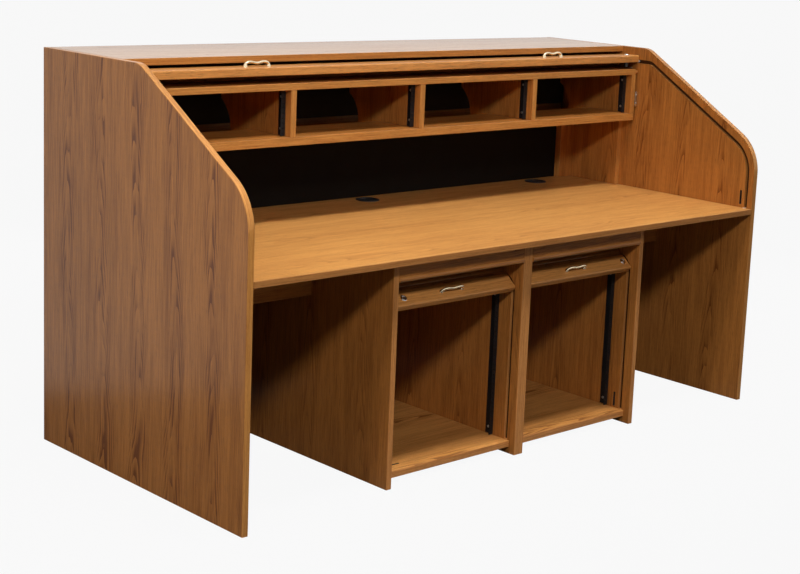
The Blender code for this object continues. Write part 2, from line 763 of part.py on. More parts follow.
def build_pull(name, parent, x, along, out):
    """A cast bow pull: a bar that rises from two feet and dips in the middle.

    The bow follows a rounded arch, with its width and height on a power of the
    cosine and the sine, and the bar swells towards each foot.
    """
    steps, sides = PULL_STEPS, PULL_SIDES
    width_power, height_power = PULL_SQUARENESS
    reach, top = PULL_CENTRES / 2, PULL_HEIGHT - PULL_ROD
    shape = bmesh.new()
    line = []
    for i in range(steps + 1):
        angle = math.pi * i / steps
        across = math.copysign(abs(math.cos(angle)) ** width_power, math.cos(angle))
        rise = math.sin(angle) ** height_power
        dip = PULL_DIP * math.exp(-((across / PULL_DIP_SPREAD) ** 2))
        line.append(Vector((reach * across, 0, (top - dip) * rise)))
    line[0].z = FIT
    line[-1].z = FIT
    rings = []
    for i, point in enumerate(line):
        ahead = line[min(i + 1, steps)] - line[max(i - 1, 0)]
        if i in (0, steps):
            ahead = Vector((0, 0, 1 if i == 0 else -1))
        ahead.normalize()
        share = math.exp(-((point.z / PULL_FOOT_HEIGHT) ** 2))
        radius = PULL_ROD + (PULL_FOOT - PULL_ROD) * share
        sideways = Vector((0, 1, 0))
        upward = sideways.cross(ahead)
        angles = [2 * math.pi * k / sides for k in range(sides)]
        ring = [point + radius * (math.cos(a) * sideways + math.sin(a) * upward) for a in angles]
        rings.append([shape.verts.new(place) for place in ring])
    for first, second in zip(rings, rings[1:]):
        for i in range(sides):
            j = (i + 1) % sides
            shape.faces.new((first[i], first[j], second[j], second[i]))
    shape.faces.new(rings[0])
    shape.faces.new(rings[-1])
    pull = add_object(name, shape, "brass", smooth=True)
    pull.parent = parent
    pull.location = (x, along, out)
    return pull


def build_lock(prefix, parent, x, along, inside, outside, behind, reach, turn=0.0):
    """A cam lock through a lead bar: the barrel, and the plug that turns its cam.

    behind is how far the cam lies past the bar's inner face, reach is how far
    its tip is from the lock's axis, and turn is how far it rests from pointing
    to the bar's nose.
    """
    barrel = LOCK_BARREL / 2
    bore = LOCK_PLUG / 2 + LOCK_CLEARANCE
    flange = LOCK_FLANGE / 2
    low = -inside - behind + FIT * 2
    profile = [
        (bore, low), (barrel, low), (barrel, outside + FIT),
        (flange, outside + FIT), (flange - EASE, outside + LOCK_FLANGE_HEIGHT),
        (bore, outside + LOCK_FLANGE_HEIGHT),
    ]
    shell = turned(prefix + "_barrel", profile, "nickel", LOCK_SIDES)
    shell.parent = parent
    shell.location = (x, along, 0)
    axis = add_empty(prefix + "_axis", (x, along, 0), parent)
    plug = cylinder(prefix + "_cam", LOCK_PLUG / 2, -inside - behind - CAM,
                    outside + LOCK_FLANGE_HEIGHT - EASE / 2, "nickel", LOCK_SIDES)
    plug.parent = axis
    half = CAM_WIDTH / 2
    corners = [(-half, half, half), (-half, -reach, half / 2),
               (half, -reach, half / 2), (half, half, half * CAM_HEEL_SHARE)]
    plan = [(p.x, p.y) for p in rounded(corners, SOFT_STEP, closed=True)]
    arm = extrude_plan(prefix + "_arm", plan, -inside - behind - CAM, -inside - behind,
                       "nickel")
    arm.parent = axis
    arm.rotation_euler = (0, 0, turn)
    join(plug, arm)
    face = outside + LOCK_FLANGE_HEIGHT
    slot = bmesh.new()
    bmesh.ops.create_cube(slot, size=1.0)
    bmesh.ops.scale(slot, vec=Vector(KEYWAY[:2] + (2 * KEYWAY[2],)), verts=slot.verts)
    slot = add_object(prefix + "_keyway", slot, "nickel")
    slot.location = (0, 0, face)
    slot.parent = axis
    cut(plug, slot)


def bore_bar(bar, name, parent, x, along, inside, outside):
    """Drill a lead bar for a lock barrel."""
    drill = cylinder(name, LOCK_BARREL / 2 + ROD_CLEARANCE, -inside - DESK, outside + DESK,
                     sides=LOCK_SIDES)
    drill.parent = parent
    drill.location = (x, along, 0)
    cut(bar, drill)


def tambour(name, line, start, count, pitch, thickness, half, kind="oak"):
    """A curtain of slats on canvas, laid along a groove.

    The slats are spaced evenly along the canvas, on the hollow side of the
    bends, and fan out on the other. Each slat and the canvas behind it share
    their faces in one flat net of cells, which is pushed across the console;
    the slats alone are then pushed on into the grooves as tongues.
    """
    canvas = offset_line(line, -thickness / 2)
    shape = bmesh.new()
    slats, webs = [], []
    last = None
    edge = (pitch - SLAT_GAP) / 2
    middle = half - CANVAS_MARGIN

    def vertex(point):
        return shape.verts.new((-middle, point.x, point.y))

    for i in range(count):
        point, ahead = along_line(canvas, start + pitch * (i + 0.5))
        out = Vector((-ahead.y, ahead.x))
        low = [vertex(point + ahead * s * edge) for s in (-1, 1)]
        shoulder = [vertex(point + ahead * s * edge + out * (thickness - CROWN)) for s in (1, -1)]
        crown = [vertex(point + ahead * s * edge / 2 + out * thickness) for s in (1, -1)]
        back = [vertex(point + ahead * s * edge - out * CANVAS) for s in (-1, 1)]
        ring = (low[0], low[1], shoulder[0], crown[0], crown[1], shoulder[1])
        slats.append(shape.faces.new(ring))
        webs.append(shape.faces.new((back[0], back[1], low[1], low[0])))
        if last:
            webs.append(shape.faces.new((last[0], back[0], low[0], last[1])))
        last = (back[1], low[1])
    far = push(shape, slats + webs, 2 * middle)
    sides = len(slats[0].verts)
    far_slats = [face for face in far if len(face.verts) == sides]
    near_slats = [face for face in shape.faces if len(face.verts) == sides
                  and face not in far_slats]
    tongue = half + TONGUE_DEPTH - middle
    for faces, direction in ((near_slats, -1), (far_slats, 1)):
        push(shape, faces, direction * tongue)
        bmesh.ops.delete(shape, geom=faces, context="FACES_ONLY")
    return add_object(name, shape, kind)


def push(shape, faces, distance):
    """Push faces along X, with walls behind their rims, and return the moved faces."""
    pushed = bmesh.ops.extrude_face_region(shape, geom=faces)["geom"]
    verts = [item for item in pushed if isinstance(item, bmesh.types.BMVert)]
    bmesh.ops.translate(shape, verts=verts, vec=(distance, 0, 0))
    return [item for item in pushed if isinstance(item, bmesh.types.BMFace)]


def along_line(line, distance):
    """The point at a distance along a line, and the line's direction there."""
    for first, second in zip(line, line[1:]):
        length = (second - first).length
        if distance <= length:
            ahead = (second - first) / length
            return first + ahead * distance, ahead
        distance -= length
    ahead = (line[-1] - line[-2]).normalized()
    return line[-1] + ahead * distance, ahead


def line_length(line):
    """The length of a line from its first point to its last."""
    return sum((second - first).length for first, second in zip(line, line[1:]))


def distance_to(line, y):
    """How far along a line it first reaches a world Y after its last bend forward."""
    walked = 0.0
    for first, second in zip(line, line[1:]):
        length = (second - first).length
        if first.x <= y < second.x:
            return walked + length * (y - first.x) / (second.x - first.x)
        walked += length
    return walked


def main_pole():
    """The point about which the bar turns a quarter from open to closed.

    A quarter turn takes the open nose to the closed nose; the pole is the one
    point that stays where it is.
    """
    open_y, open_z = depth(MAIN_BAR_NOSE), TRACK_HEIGHT
    closed_y, closed_z = depth(TRACK_FRONT_INSET), TRACK_FOOT
    height = (closed_y + closed_z + open_z - open_y) / 2
    return Vector((0, closed_y + open_z - height, height))


def build_main_curtain():
    """The main lead bar with its pulls and lock, and the stored curtain."""
    pole = main_pole()
    hinge = add_empty("main_curtain_axis", pole)
    frame = add_empty("main_bar_frame", Vector((0, depth(MAIN_BAR_NOSE), TRACK_HEIGHT)) - pole,
                      hinge)
    half = HALF_WIDTH - MAIN_BAR_SIDE_GAP
    outline = bar_outline(0, MAIN_BAR_WIDTH, MAIN_BAR_INSIDE, MAIN_BAR_OUTSIDE)
    bar = prism("main_lead_bar", outline, -half, half, ease=SMALL_EASE, smooth=True)
    bar.parent = frame
    lock_x = HALF_WIDTH - MAIN_LOCK_FROM_SIDE
    bore_bar(bar, "main_lock_bore", frame, lock_x, MAIN_PULL_ALONG, MAIN_BAR_INSIDE,
             MAIN_BAR_OUTSIDE)
    build_lock("main_lock", frame, lock_x, MAIN_PULL_ALONG, MAIN_BAR_INSIDE,
               MAIN_BAR_OUTSIDE, MAIN_LOCK_BEHIND, MAIN_LOCK_FROM_SIDE - CAM_WALL_GAP)
    for side, label in ((-1, "left"), (1, "right")):
        build_pull("main_pull_" + label, frame, side * MAIN_PULL_OFFSET, MAIN_PULL_ALONG,
                   MAIN_BAR_OUTSIDE)
    line = main_track()
    tambour("main_curtain", line, main_curtain_start(line), MAIN_SLATS, MAIN_SLAT_PITCH,
            MAIN_SLAT, HALF_WIDTH)


def build_doors():
    """Lead bar, guide rod, pull, lock and stored curtain of each lower bay."""
    lean = math.pi / 2 - DOOR_BAR_TILT
    for label, left in pedestal_bays():
        centre = left + PEDESTAL_BAY / 2
        slide = add_empty(f"door_{label}_slide_axis",
                          (centre, depth(DOOR_TRACK_FRONT), DOOR_ROD_OPEN))
        frame = add_empty(f"door_{label}_bar_axis", (0, 0, 0), slide, lean)
        rod_half = PEDESTAL_BAY / 2 + DOOR_TRACK_DEPTH - ROD_END_GAP
        rod = cylinder(f"door_{label}_guide_rod", GUIDE_ROD / 2, -rod_half, rod_half)
        rod.parent = slide
        rod.rotation_euler = (0, math.pi / 2, 0)
        half = PEDESTAL_BAY / 2 - DOOR_BAR_SIDE_GAP
        outline = bar_outline(DOOR_BAR_NOSE, DOOR_BAR_TAIL, DOOR_BAR_INSIDE, DOOR_BAR_OUTSIDE)
        bar = prism(f"door_{label}_lead_bar", outline, -half, half, ease=SMALL_EASE, smooth=True)
        bar.parent = frame
        bore = cylinder(f"door_{label}_rod_bore", GUIDE_ROD / 2 + ROD_CLEARANCE,
                        -half - FIT * 2, half + FIT * 2)
        bore.parent = frame
        bore.rotation_euler = (0, math.pi / 2, 0)
        cut(bar, bore)
        along = DOOR_PULL_ALONG
        if label == "left":
            lock_x = LEFT_LOCK_FROM_SIDE - PEDESTAL_BAY / 2
            reach = along + DOOR_BAR_NOSE + DOOR_BAR_FLOOR_GAP + LEFT_CAM_IN_SHELF
            turn = -math.pi / 2
        else:
            lock_x = PEDESTAL_BAY / 2 - RIGHT_LOCK_FROM_SIDE
            reach = RIGHT_LOCK_FROM_SIDE - CAM_WALL_GAP
            turn = 0.0
        bore_bar(bar, f"door_{label}_lock_bore", frame, lock_x, along, DOOR_BAR_INSIDE,
                 DOOR_BAR_OUTSIDE)
        build_lock(f"door_{label}_lock", frame, lock_x, along, DOOR_BAR_INSIDE,
                   DOOR_BAR_OUTSIDE, DOOR_LOCK_BEHIND, reach, turn)
        build_pull(f"door_{label}_pull", frame, 0, along, DOOR_BAR_OUTSIDE)
        line = door_track()
        start = distance_to(line, depth(DOOR_CURTAIN_START))
        curtain = tambour(f"door_{label}_curtain", line, start, DOOR_SLATS,
                          DOOR_SLAT_PITCH, DOOR_SLAT, PEDESTAL_BAY / 2)
        curtain.location.x = centre


def main():
    """Build the console from its carcass to its curtains."""
    clear_scene()
    build_end_panels()
    build_top_and_back()
    build_desk()
    build_overhead()
    build_work_space()
    build_pedestal()
    build_knee_rails()
    build_rails()
    build_main_curtain()
    build_doors()


main()
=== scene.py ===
"""Looks of a roll-top operator console: oak veneer, lead bars, pulls, locks and slats.

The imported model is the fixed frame. This script dresses its nodes, replaces the
cast and turned hardware with finer surfaces, adds the small fixings and gives
both kinds of curtain the slats that show when they are pulled down.

Metres, +Z up, +X to the operator's right, the operator on the -Y side.
"""
import logging
import math
from dataclasses import dataclass, field
from enum import Enum
from typing import Optional, Sequence, Union

import bpy
import numpy as np
from mathutils import Matrix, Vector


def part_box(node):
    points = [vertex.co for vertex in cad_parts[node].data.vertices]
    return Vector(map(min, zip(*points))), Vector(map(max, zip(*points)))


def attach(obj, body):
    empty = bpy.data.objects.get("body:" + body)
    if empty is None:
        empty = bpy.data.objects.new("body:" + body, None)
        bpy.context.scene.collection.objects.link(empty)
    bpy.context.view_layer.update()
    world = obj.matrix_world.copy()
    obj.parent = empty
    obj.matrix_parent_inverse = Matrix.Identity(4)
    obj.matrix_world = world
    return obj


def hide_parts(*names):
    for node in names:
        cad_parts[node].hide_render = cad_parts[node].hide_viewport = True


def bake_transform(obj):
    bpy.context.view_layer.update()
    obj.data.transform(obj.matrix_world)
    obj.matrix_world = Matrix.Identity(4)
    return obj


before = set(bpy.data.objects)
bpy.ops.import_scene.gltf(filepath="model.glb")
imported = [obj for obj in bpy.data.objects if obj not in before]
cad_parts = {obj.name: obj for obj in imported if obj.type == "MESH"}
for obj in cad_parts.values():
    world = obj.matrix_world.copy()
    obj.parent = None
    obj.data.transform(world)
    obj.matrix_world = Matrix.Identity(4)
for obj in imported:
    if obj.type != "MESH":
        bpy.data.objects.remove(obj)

log = logging.getLogger("console")

Value = Union[float, Sequence[float], bpy.types.NodeSocket]

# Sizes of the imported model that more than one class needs, in metres
DEPTH = 0.993
HALF_INSIDE = 1.038
HALF_OVERHEAD = 1.026
DESK_TOP = 0.670
SHELF_TOP = 0.042
TRACK_FRONT = 0.027
TRACK_FOOT = 0.672
TRACK_TOP = 1.121
MAIN_BAR_REST = 0.535
MAIN_BAR_WIDTH = 0.065
BAY_LEFT = {"left": -0.5115, "right": 0.0185}
BAY_WIDTH = 0.493

# The gap that keeps two pieces from sharing a face
FIT = 0.0003

# Stands in for zero in a division
TINY = 1e-6


def behind(distance: float) -> float:
    """World Y of a distance behind the front edges of the end panels."""
    return distance - DEPTH / 2


# Shapes as arrays


@dataclass(frozen=True)
class Shape:
    """A mesh as arrays.

    Args:
        points: Corner places, one row each.
        faces: Corner numbers of each face.
        uv: A place on the piece's own pattern for each corner, in metres.
    """

    points: np.ndarray
    faces: list[tuple[int, ...]]
    uv: Optional[np.ndarray] = None

    def volume(self) -> float:
        """Six times the signed volume, summed over a fan of triangles per face.

        Returns:
            The sum of each triangle's triple product. It is positive where the faces
            point outwards.
        """
        total = 0.0
        for size in {len(face) for face in self.faces}:
            corners = self.points[np.array([f for f in self.faces if len(f) == size])]
            for i in range(1, size - 1):
                cross = np.cross(corners[:, i], corners[:, i + 1])
                total += float(np.einsum("ij,ij->", corners[:, 0], cross))
        return total

    def outward(self) -> "Shape":
        """The same closed shape with its faces turned outwards."""
        if self.volume() >= 0:
            return self
        return Shape(self.points, [face[::-1] for face in self.faces], self.uv)


def combine(shapes: Sequence[Shape]) -> Shape:
    """Several closed shapes as one, each one turned outwards first.

    Args:
        shapes: The shapes, of any number of corners.

    Returns:
        One shape that holds them all.
    """
    points, faces, uvs, first = [], [], [], 0
    for shape in (s.outward() for s in shapes):
        points.append(shape.points)
        uvs.append(shape.uv if shape.uv is not None else shape.points[:, :2])
        faces += [tuple(i + first for i in face) for face in shape.faces]
        first += len(shape.points)
    return Shape(np.concatenate(points), faces, np.concatenate(uvs))


def loft(rings: np.ndarray, looped: bool = False) -> Shape:
    """A skin over a row of closed rings.

    Point (i, j) of the grid is corner j of ring i. The skin closes round each
    ring, and its ends are closed by a fan to the middle of the end ring, or,
    when looped, the last ring runs back into the first.

    Args:
        rings: An array of rings, corners and coordinates.
        looped: Whether the row of rings is itself closed.

    Returns:
        The closed skin, facing out.
    """
    count, around = rings.shape[:2]
    points = rings.reshape(-1, 3)
    steps = np.arange(count if looped else count - 1)
    i, j = np.meshgrid(steps, np.arange(around), indexing="ij")
    following, beside = (i + 1) % count, (j + 1) % around
    quads = np.stack([i * around + j, i * around + beside,
                      following * around + beside, following * around + j], -1)
    faces = [tuple(q) for q in quads.reshape(-1, 4).tolist()]
    if not looped:
        ends = np.stack([rings[0].mean(0), rings[-1].mean(0)])
        points = np.concatenate([points, ends])
        base = count * around
        last = (count - 1) * around
        here = np.arange(around)
        after = (here + 1) % around
        fans = np.concatenate([np.stack([after, here, np.full(around, base)], -1),
                               np.stack([last + here, last + after,
                                         np.full(around, base + 1)], -1)])
        faces += [tuple(face) for face in fans.tolist()]
    return Shape(points, faces).outward()


def circle(sides: int) -> np.ndarray:
    """Unit directions (cosine, sine) round a circle, one row each."""
    turn = 2 * math.pi * np.arange(sides) / sides
    return np.stack([np.cos(turn), np.sin(turn)], -1)


def turned(profile: Sequence[tuple[float, float]], sides: int, looped: bool = False) -> Shape:
    """A profile of (radius, height) turned about local Z.

    Point (i, j) lies at radius i in direction j, at height i.

    Args:
        profile: Radii and heights in order.
        sides: Facets round the axis.
        looped: Whether the profile is closed, as on a ring.

    Returns:
        The turned skin.
    """
    radius, height = np.asarray(profile, float).T
    way = circle(sides)
    flat = radius[:, None, None] * way[None]
    level = np.broadcast_to(height[:, None, None], (len(radius), sides, 1))
    return loft(np.concatenate([flat, level], -1), looped)


def stacked(rings: Sequence[tuple[np.ndarray, float]]) -> np.ndarray:
    """Flat outlines of the same number of points, each lifted to its own height."""
    return np.stack([np.column_stack([o, np.full(len(o), z)]) for o, z in rings])


def plate(outline: np.ndarray, low: float, high: float, ease: float) -> Shape:
    """A flat plate from an outline round its own middle, with eased rims.

    The rings are the outline drawn in by ease at both faces and full between.

    Args:
        outline: Points of the outline in local X and Y.
        low: Height of one face.
        high: Height of the other.
        ease: How far the rims are drawn in and down.

    Returns:
        The closed plate.
    """
    middle = outline.mean(0)
    radius = np.linalg.norm(outline - middle, axis=1, keepdims=True)
    inner = middle + (outline - middle) * (1 - ease / radius)
    return loft(stacked([(inner, low), (outline, low + ease), (outline, high - ease),
                         (inner, high)]))


def slot_outline(half_length: float, half_width: float, sides: int) -> np.ndarray:
    """A slot with round ends: a circle whose halves are drawn apart along X.

    Args:
        half_length: Half of its length along X.
        half_width: Half of its width, and the radius of its ends.
        sides: Points round it.

    Returns:
        Its points, one row each.
    """
    way = circle(sides)
    shift = np.sign(np.round(way[:, :1], 9)) * (half_length - half_width)
    return way * half_width + np.concatenate([shift, np.zeros_like(shift)], 1)


def cross_outline(arm: float, half_width: float, sides: int) -> np.ndarray:
    """A cross: in each direction the nearer of the arm's end and its side.

    Args:
        arm: Distance from the middle to the end of an arm.
        half_width: Half of an arm's width.
        sides: Points round it.

    Returns:
        Its points, one row each.
    """
    way = circle(sides)
    far, near = np.abs(way).max(1), np.abs(way).min(1)
    reach = np.minimum(arm / far, half_width / np.maximum(near, TINY))
    return way * reach[:, None]


@dataclass(frozen=True)
class Place:
    """A local frame in the console.

    Args:
        origin: Where local zero lies.
        across: World direction of local X.
        along: World direction of local Y.
        out: World direction of local Z.
    """

    origin: tuple[float, float, float]
    across: tuple[float, float, float] = (1.0, 0.0, 0.0)
    along: tuple[float, float, float] = (0.0, 1.0, 0.0)
    out: tuple[float, float, float] = (0.0, 0.0, 1.0)

    def put(self, shape: Shape) -> Shape:
        """A shape carried from this frame to the world.

        Args:
            shape: The shape in local coordinates.

        Returns:
            The shape in world coordinates: origin plus its points times the axes.
        """
        axes = np.array([self.across, self.along, self.out], float)
        points = shape.points @ axes + np.array(self.origin)
        return Shape(points, shape.faces, shape.uv).outward()

    def shifted(self, x: float, y: float, z: float) -> "Place":
        """The same frame with its origin moved.

        Args:
            x: Distance along local X.
            y: Distance along local Y.
            z: Distance along local Z.

        Returns:
            The moved frame.
        """
        axes = np.array([self.across, self.along, self.out], float)
        origin = np.array(self.origin) + np.array([x, y, z]) @ axes
        return Place(tuple(origin), self.across, self.along, self.out)


# Materials


class Tree:
    """A node tree that is written one short call at a time."""

    def __init__(self, tree: bpy.types.NodeTree) -> None:
        """Keep the tree that the calls add to."""
        self.tree = tree

    def node(self, kind: str, **settings: object) -> bpy.types.Node:
        """A new node.

        Args:
            kind: The node's type.
            **settings: Values of its properties, by name.

        Returns:
            The node.
        """
        node = self.tree.nodes.new(kind)
        for name, value in settings.items():
            setattr(node, name, value)
        return node

    def feed(self, socket: bpy.types.NodeSocket, value: Value) -> None:
        """Link a socket into another, or write a plain value on it.

        Args:
            socket: The socket that takes it.
            value: A socket to link, or a number, vector or colour.
        """
        if isinstance(value, bpy.types.NodeSocket):
            self.tree.links.new(value, socket)
        else:
            socket.default_value = value

    def math(self, operation: str, *values: Value, clamp: bool = False) -> bpy.types.NodeSocket:
        """One sum or function of up to three values.

        Args:
            operation: What the Math node does.
            *values: What it takes, in order.
            clamp: Whether the result is kept between 0 and 1.

        Returns:
            The result.
        """
        node = self.node("ShaderNodeMath", operation=operation, use_clamp=clamp)
        for socket, value in zip(node.inputs, values):
            self.feed(socket, value)
        return node.outputs[0]

    def scaled(self, vector: Value, factors: Sequence[float]) -> bpy.types.NodeSocket:
        """A vector times a factor on each axis.

        Args:
            vector: The vector.
            factors: One factor for each axis.

        Returns:
            The scaled vector.
        """
        node = self.node("ShaderNodeVectorMath", operation="MULTIPLY")
        self.feed(node.inputs[0], vector)
        self.feed(node.inputs[1], tuple(factors))
        return node.outputs[0]

    def noise(self, vector: Value, scale: float, detail: float = 2.0) -> bpy.types.NodeSocket:
        """Smooth noise between 0 and 1.

        Args:
            vector: Where it is read.
            scale: Waves per metre of the vector.
            detail: How many finer layers it has.

        Returns:
            Its value.
        """
        node = self.node("ShaderNodeTexNoise")
        self.feed(node.inputs["Vector"], vector)
        self.feed(node.inputs["Scale"], scale)
        self.feed(node.inputs["Detail"], detail)
        return node.outputs[0]

    def spread(self, value: Value, low: float, high: float, to_low: float = 0.0,
               to_high: float = 1.0) -> bpy.types.NodeSocket:
        """A value carried from one range to another, and kept inside it.

        Args:
            value: The value.
            low: What becomes to_low.
            high: What becomes to_high.
            to_low: One end of the new range.
            to_high: Its other end.

        Returns:
            The new value.
        """
        node = self.node("ShaderNodeMapRange")
        for socket, number in zip(node.inputs, (value, low, high, to_low, to_high)):
            self.feed(socket, number)
        return node.outputs[0]

    def mix(self, share: Value, first: Value, second: Value,
            blend: str = "MIX") -> bpy.types.NodeSocket:
        """Two colours mixed by a share.

        Args:
            share: 0 for the first, 1 for the second.
            first: A colour.
            second: The colour that is laid over it.
            blend: How it is laid over it.

        Returns:
            The mixed colour.
        """
        node = self.node("ShaderNodeMix", data_type="RGBA", blend_type=blend)
        self.feed(node.inputs[0], share)
        self.feed(node.inputs[6], first)
        self.feed(node.inputs[7], second)
        return node.outputs[2]

    def split(self, vector: Value) -> bpy.types.bpy_prop_collection:
        """The three parts of a vector.

        Args:
            vector: The vector.

        Returns:
            Its parts, as sockets in order.
        """
        node = self.node("ShaderNodeSeparateXYZ")
        self.feed(node.inputs[0], vector)
        return node.outputs

    def joined(self, x: Value, y: Value, z: Value) -> bpy.types.NodeSocket:
        """Three parts as one vector.

        Args:
            x: Its first part.
            y: Its second part.
            z: Its third part.

        Returns:
            The vector.
        """
        node = self.node("ShaderNodeCombineXYZ")
        for socket, value in zip(node.inputs, (x, y, z)):
            self.feed(socket, value)
        return node.outputs[0]


def new_group(name: str, inputs: Sequence[tuple[str, str]],
              outputs: Sequence[tuple[str, str]]) -> tuple[Tree, bpy.types.NodeGroupInput,
                                                           bpy.types.NodeGroupOutput]:
    """An empty shader group with named sockets.

    Args:
        name: The group's name.
        inputs: Names and kinds of what it takes.
        outputs: Names and kinds of what it gives.

    Returns:
        Its tree, its input node and its output node.
    """
    group = bpy.data.node_groups.new(name, "ShaderNodeTree")
    for way, sockets in (("INPUT", inputs), ("OUTPUT", outputs)):
        for label, kind in sockets:
            group.interface.new_socket(name=label, in_out=way, socket_type="NodeSocket" + kind)
    tree = Tree(group)
    return tree, tree.node("NodeGroupInput"), tree.node("NodeGroupOutput")


@dataclass(frozen=True)
class VeneerFigure:
    """Sizes of the figure in flat-sliced oak, in metres.

    Args:
        core: How far the slice lies from the heart of the log.
        taper: How much the rings close in per metre of trunk.
        ring: Distance from one ring to the next.
        fade: Power by which a ring's dark band fades.
        sway: How far the centre line of a leaf wanders to either side.
        ripple: How far a ring wanders to either side.
        slip: How far the leaves are slipped along the trunk.
        turn: Angle in radians by which that slip changes from leaf to leaf.
        step: How far apart in the log two leaves next to each other lie.
        heart: Distances from the centre line where the figure starts and ends to fade.
        plain: Strength of the figure in plain wood, beside and between the arches.
    """

    core: float = 0.034
    taper: float = 0.052
    ring: float = 0.0060
    fade: float = 1.7
    sway: float = 0.040
    ripple: float = 0.0095
    slip: float = 0.05
    turn: float = 2.4
    step: float = 0.31
    heart: tuple[float, float] = (0.008, 0.056)
    plain: tuple[float, float] = (0.16, 0.10)

    # Waves per metre across the leaf, along the grain and from leaf to leaf
    WAVES = {"sway": (4.0, 1.6, 1.0), "ripple": (20.0, 3.6, 1.0), "patch": (40.0, 5.0, 2.0),
             "fibre": (300.0, 9.0, 300.0), "streak": (42.0, 2.4, 42.0),
             "cloud": (9.0, 1.3, 9.0), "pore": (1000.0, 40.0, 1000.0)}

    def build(self) -> bpy.types.NodeTree:
        """The group that paints it.

        A ring's place on the leaf is the hypotenuse of core and the distance from
        the leaf's centre line, plus taper times the place along the trunk. Equal
        values of that sum are nested arches, steep at the leaf's edges. Each ring
        starts with a dark porous band that fades into paler wood.

        Returns:
            The node group, with X across the leaves, Y along the grain.
        """
        tree, given, made = new_group(
            "oak_veneer",
            [("Vector", "Vector"), ("Leaf", "Float"), ("Figure", "Float"),
             ("Pale", "Color"), ("Deep", "Color")],
            [("Color", "Color"), ("Roughness", "Float"), ("Height", "Float")])
        across, along, through = tree.split(given.outputs["Vector"])
        leaf = given.outputs["Leaf"]
        number = tree.math("ROUND", tree.math("DIVIDE", across, leaf))
        place = tree.math("SUBTRACT", across, tree.math("MULTIPLY", number, leaf))
        slip = tree.math("SINE", tree.math("MULTIPLY", number, self.turn))
        trunk = tree.math("ADD", along, tree.math("MULTIPLY", slip, self.slip))
        layer = tree.math("MULTIPLY_ADD", number, self.step, through)
        spot = tree.joined(place, trunk, layer)

        def wave(name: str, detail: float) -> bpy.types.NodeSocket:
            """The noise of that name at this spot."""
            return tree.noise(tree.scaled(spot, self.WAVES[name]), 1.0, detail)

        drift = tree.math("ADD", place,
                          tree.spread(wave("sway", 1.0), 0.0, 1.0, -self.sway, self.sway))
        squared = tree.math("MULTIPLY", drift, drift)
        hypotenuse = tree.math("SQRT", tree.math("ADD", squared, self.core ** 2))
        rings = tree.math("ADD", hypotenuse, tree.math("MULTIPLY", trunk, self.taper))
        rings = tree.math("ADD", rings, tree.spread(wave("ripple", 3.0), 0.0, 1.0,
                                                    -self.ripple, self.ripple))
        phase = tree.math("FRACT", tree.math("DIVIDE", rings, self.ring))
        early = tree.math("POWER", tree.math("SUBTRACT", 1.0, phase), self.fade)
        beside, between = self.plain
        heart = tree.spread(tree.math("ABSOLUTE", drift), *self.heart, 1.0, beside)
        patch = tree.spread(wave("patch", 1.0), 0.42, 0.58, between, 1.0)
        pore = tree.spread(wave("pore", 1.0), 0.54, 0.68)
        pore = tree.math("MULTIPLY", pore, tree.math("ADD", tree.math("MULTIPLY", early, 0.7), 0.3))
        tone = tree.math("MULTIPLY", tree.math("MULTIPLY", early, heart), patch)
        tone = tree.math("MULTIPLY", tone, given.outputs["Figure"])
        tone = tree.math("ADD", tone, tree.spread(wave("fibre", 2.0), 0.25, 0.75, -0.27, 0.32))
        tone = tree.math("ADD", tone, tree.spread(wave("streak", 3.0), 0.25, 0.75, -0.17, 0.22))
        tone = tree.math("ADD", tone, tree.spread(wave("cloud", 2.0), 0.25, 0.75, 0.02, 0.28),
                         clamp=True)
        colour = tree.mix(tone, given.outputs["Pale"], given.outputs["Deep"])
        dark = tree.math("SUBTRACT", 1.0, tree.math("MULTIPLY", pore, 0.45))
        colour = tree.mix(1.0, colour, tree.joined(dark, dark, dark), "MULTIPLY")
        tree.feed(made.inputs["Color"], colour)
        tree.feed(made.inputs["Roughness"], tree.spread(tone, 0.0, 1.0, 0.34, 0.46))
        height = tree.math("ADD", tree.math("MULTIPLY", early, 0.35), pore)
        tree.feed(made.inputs["Height"], tree.math("SUBTRACT", 1.0, height))
        return tree.tree


def build_band_group() -> bpy.types.NodeTree:
    """The group that paints a solid edge band, with lines that run along the edge.

    The pattern changes fast through the board's thickness and slowly along both
    other ways, so its lines follow every edge, a sloping or rounded one too.

    Returns:
        The node group, with Z through the board.
    """
    tree, given, made = new_group(
        "oak_band", [("Vector", "Vector"), ("Normal", "Vector"), ("Face", "Color"),
                     ("Pale", "Color"), ("Deep", "Color")],
        [("Color", "Color")])
    vector = given.outputs["Vector"]
    lines = tree.noise(tree.scaled(vector, (7.0, 7.0, 420.0)), 1.0, 2.0)
    flecks = tree.noise(tree.scaled(vector, (60.0, 60.0, 900.0)), 1.0, 1.0)
    tone = tree.math("ADD", tree.spread(lines, 0.3, 0.7, 0.0, 0.7),
                     tree.spread(flecks, 0.5, 0.75, 0.0, 0.4), clamp=True)
    band = tree.mix(tone, given.outputs["Pale"], given.outputs["Deep"])
    tilt = tree.math("ABSOLUTE", tree.split(given.outputs["Normal"])[2])
    mask = tree.spread(tilt, 0.60, 0.80, 1.0, 0.0)
    tree.feed(made.inputs["Color"], tree.mix(mask, given.outputs["Face"], band))
    return tree.tree


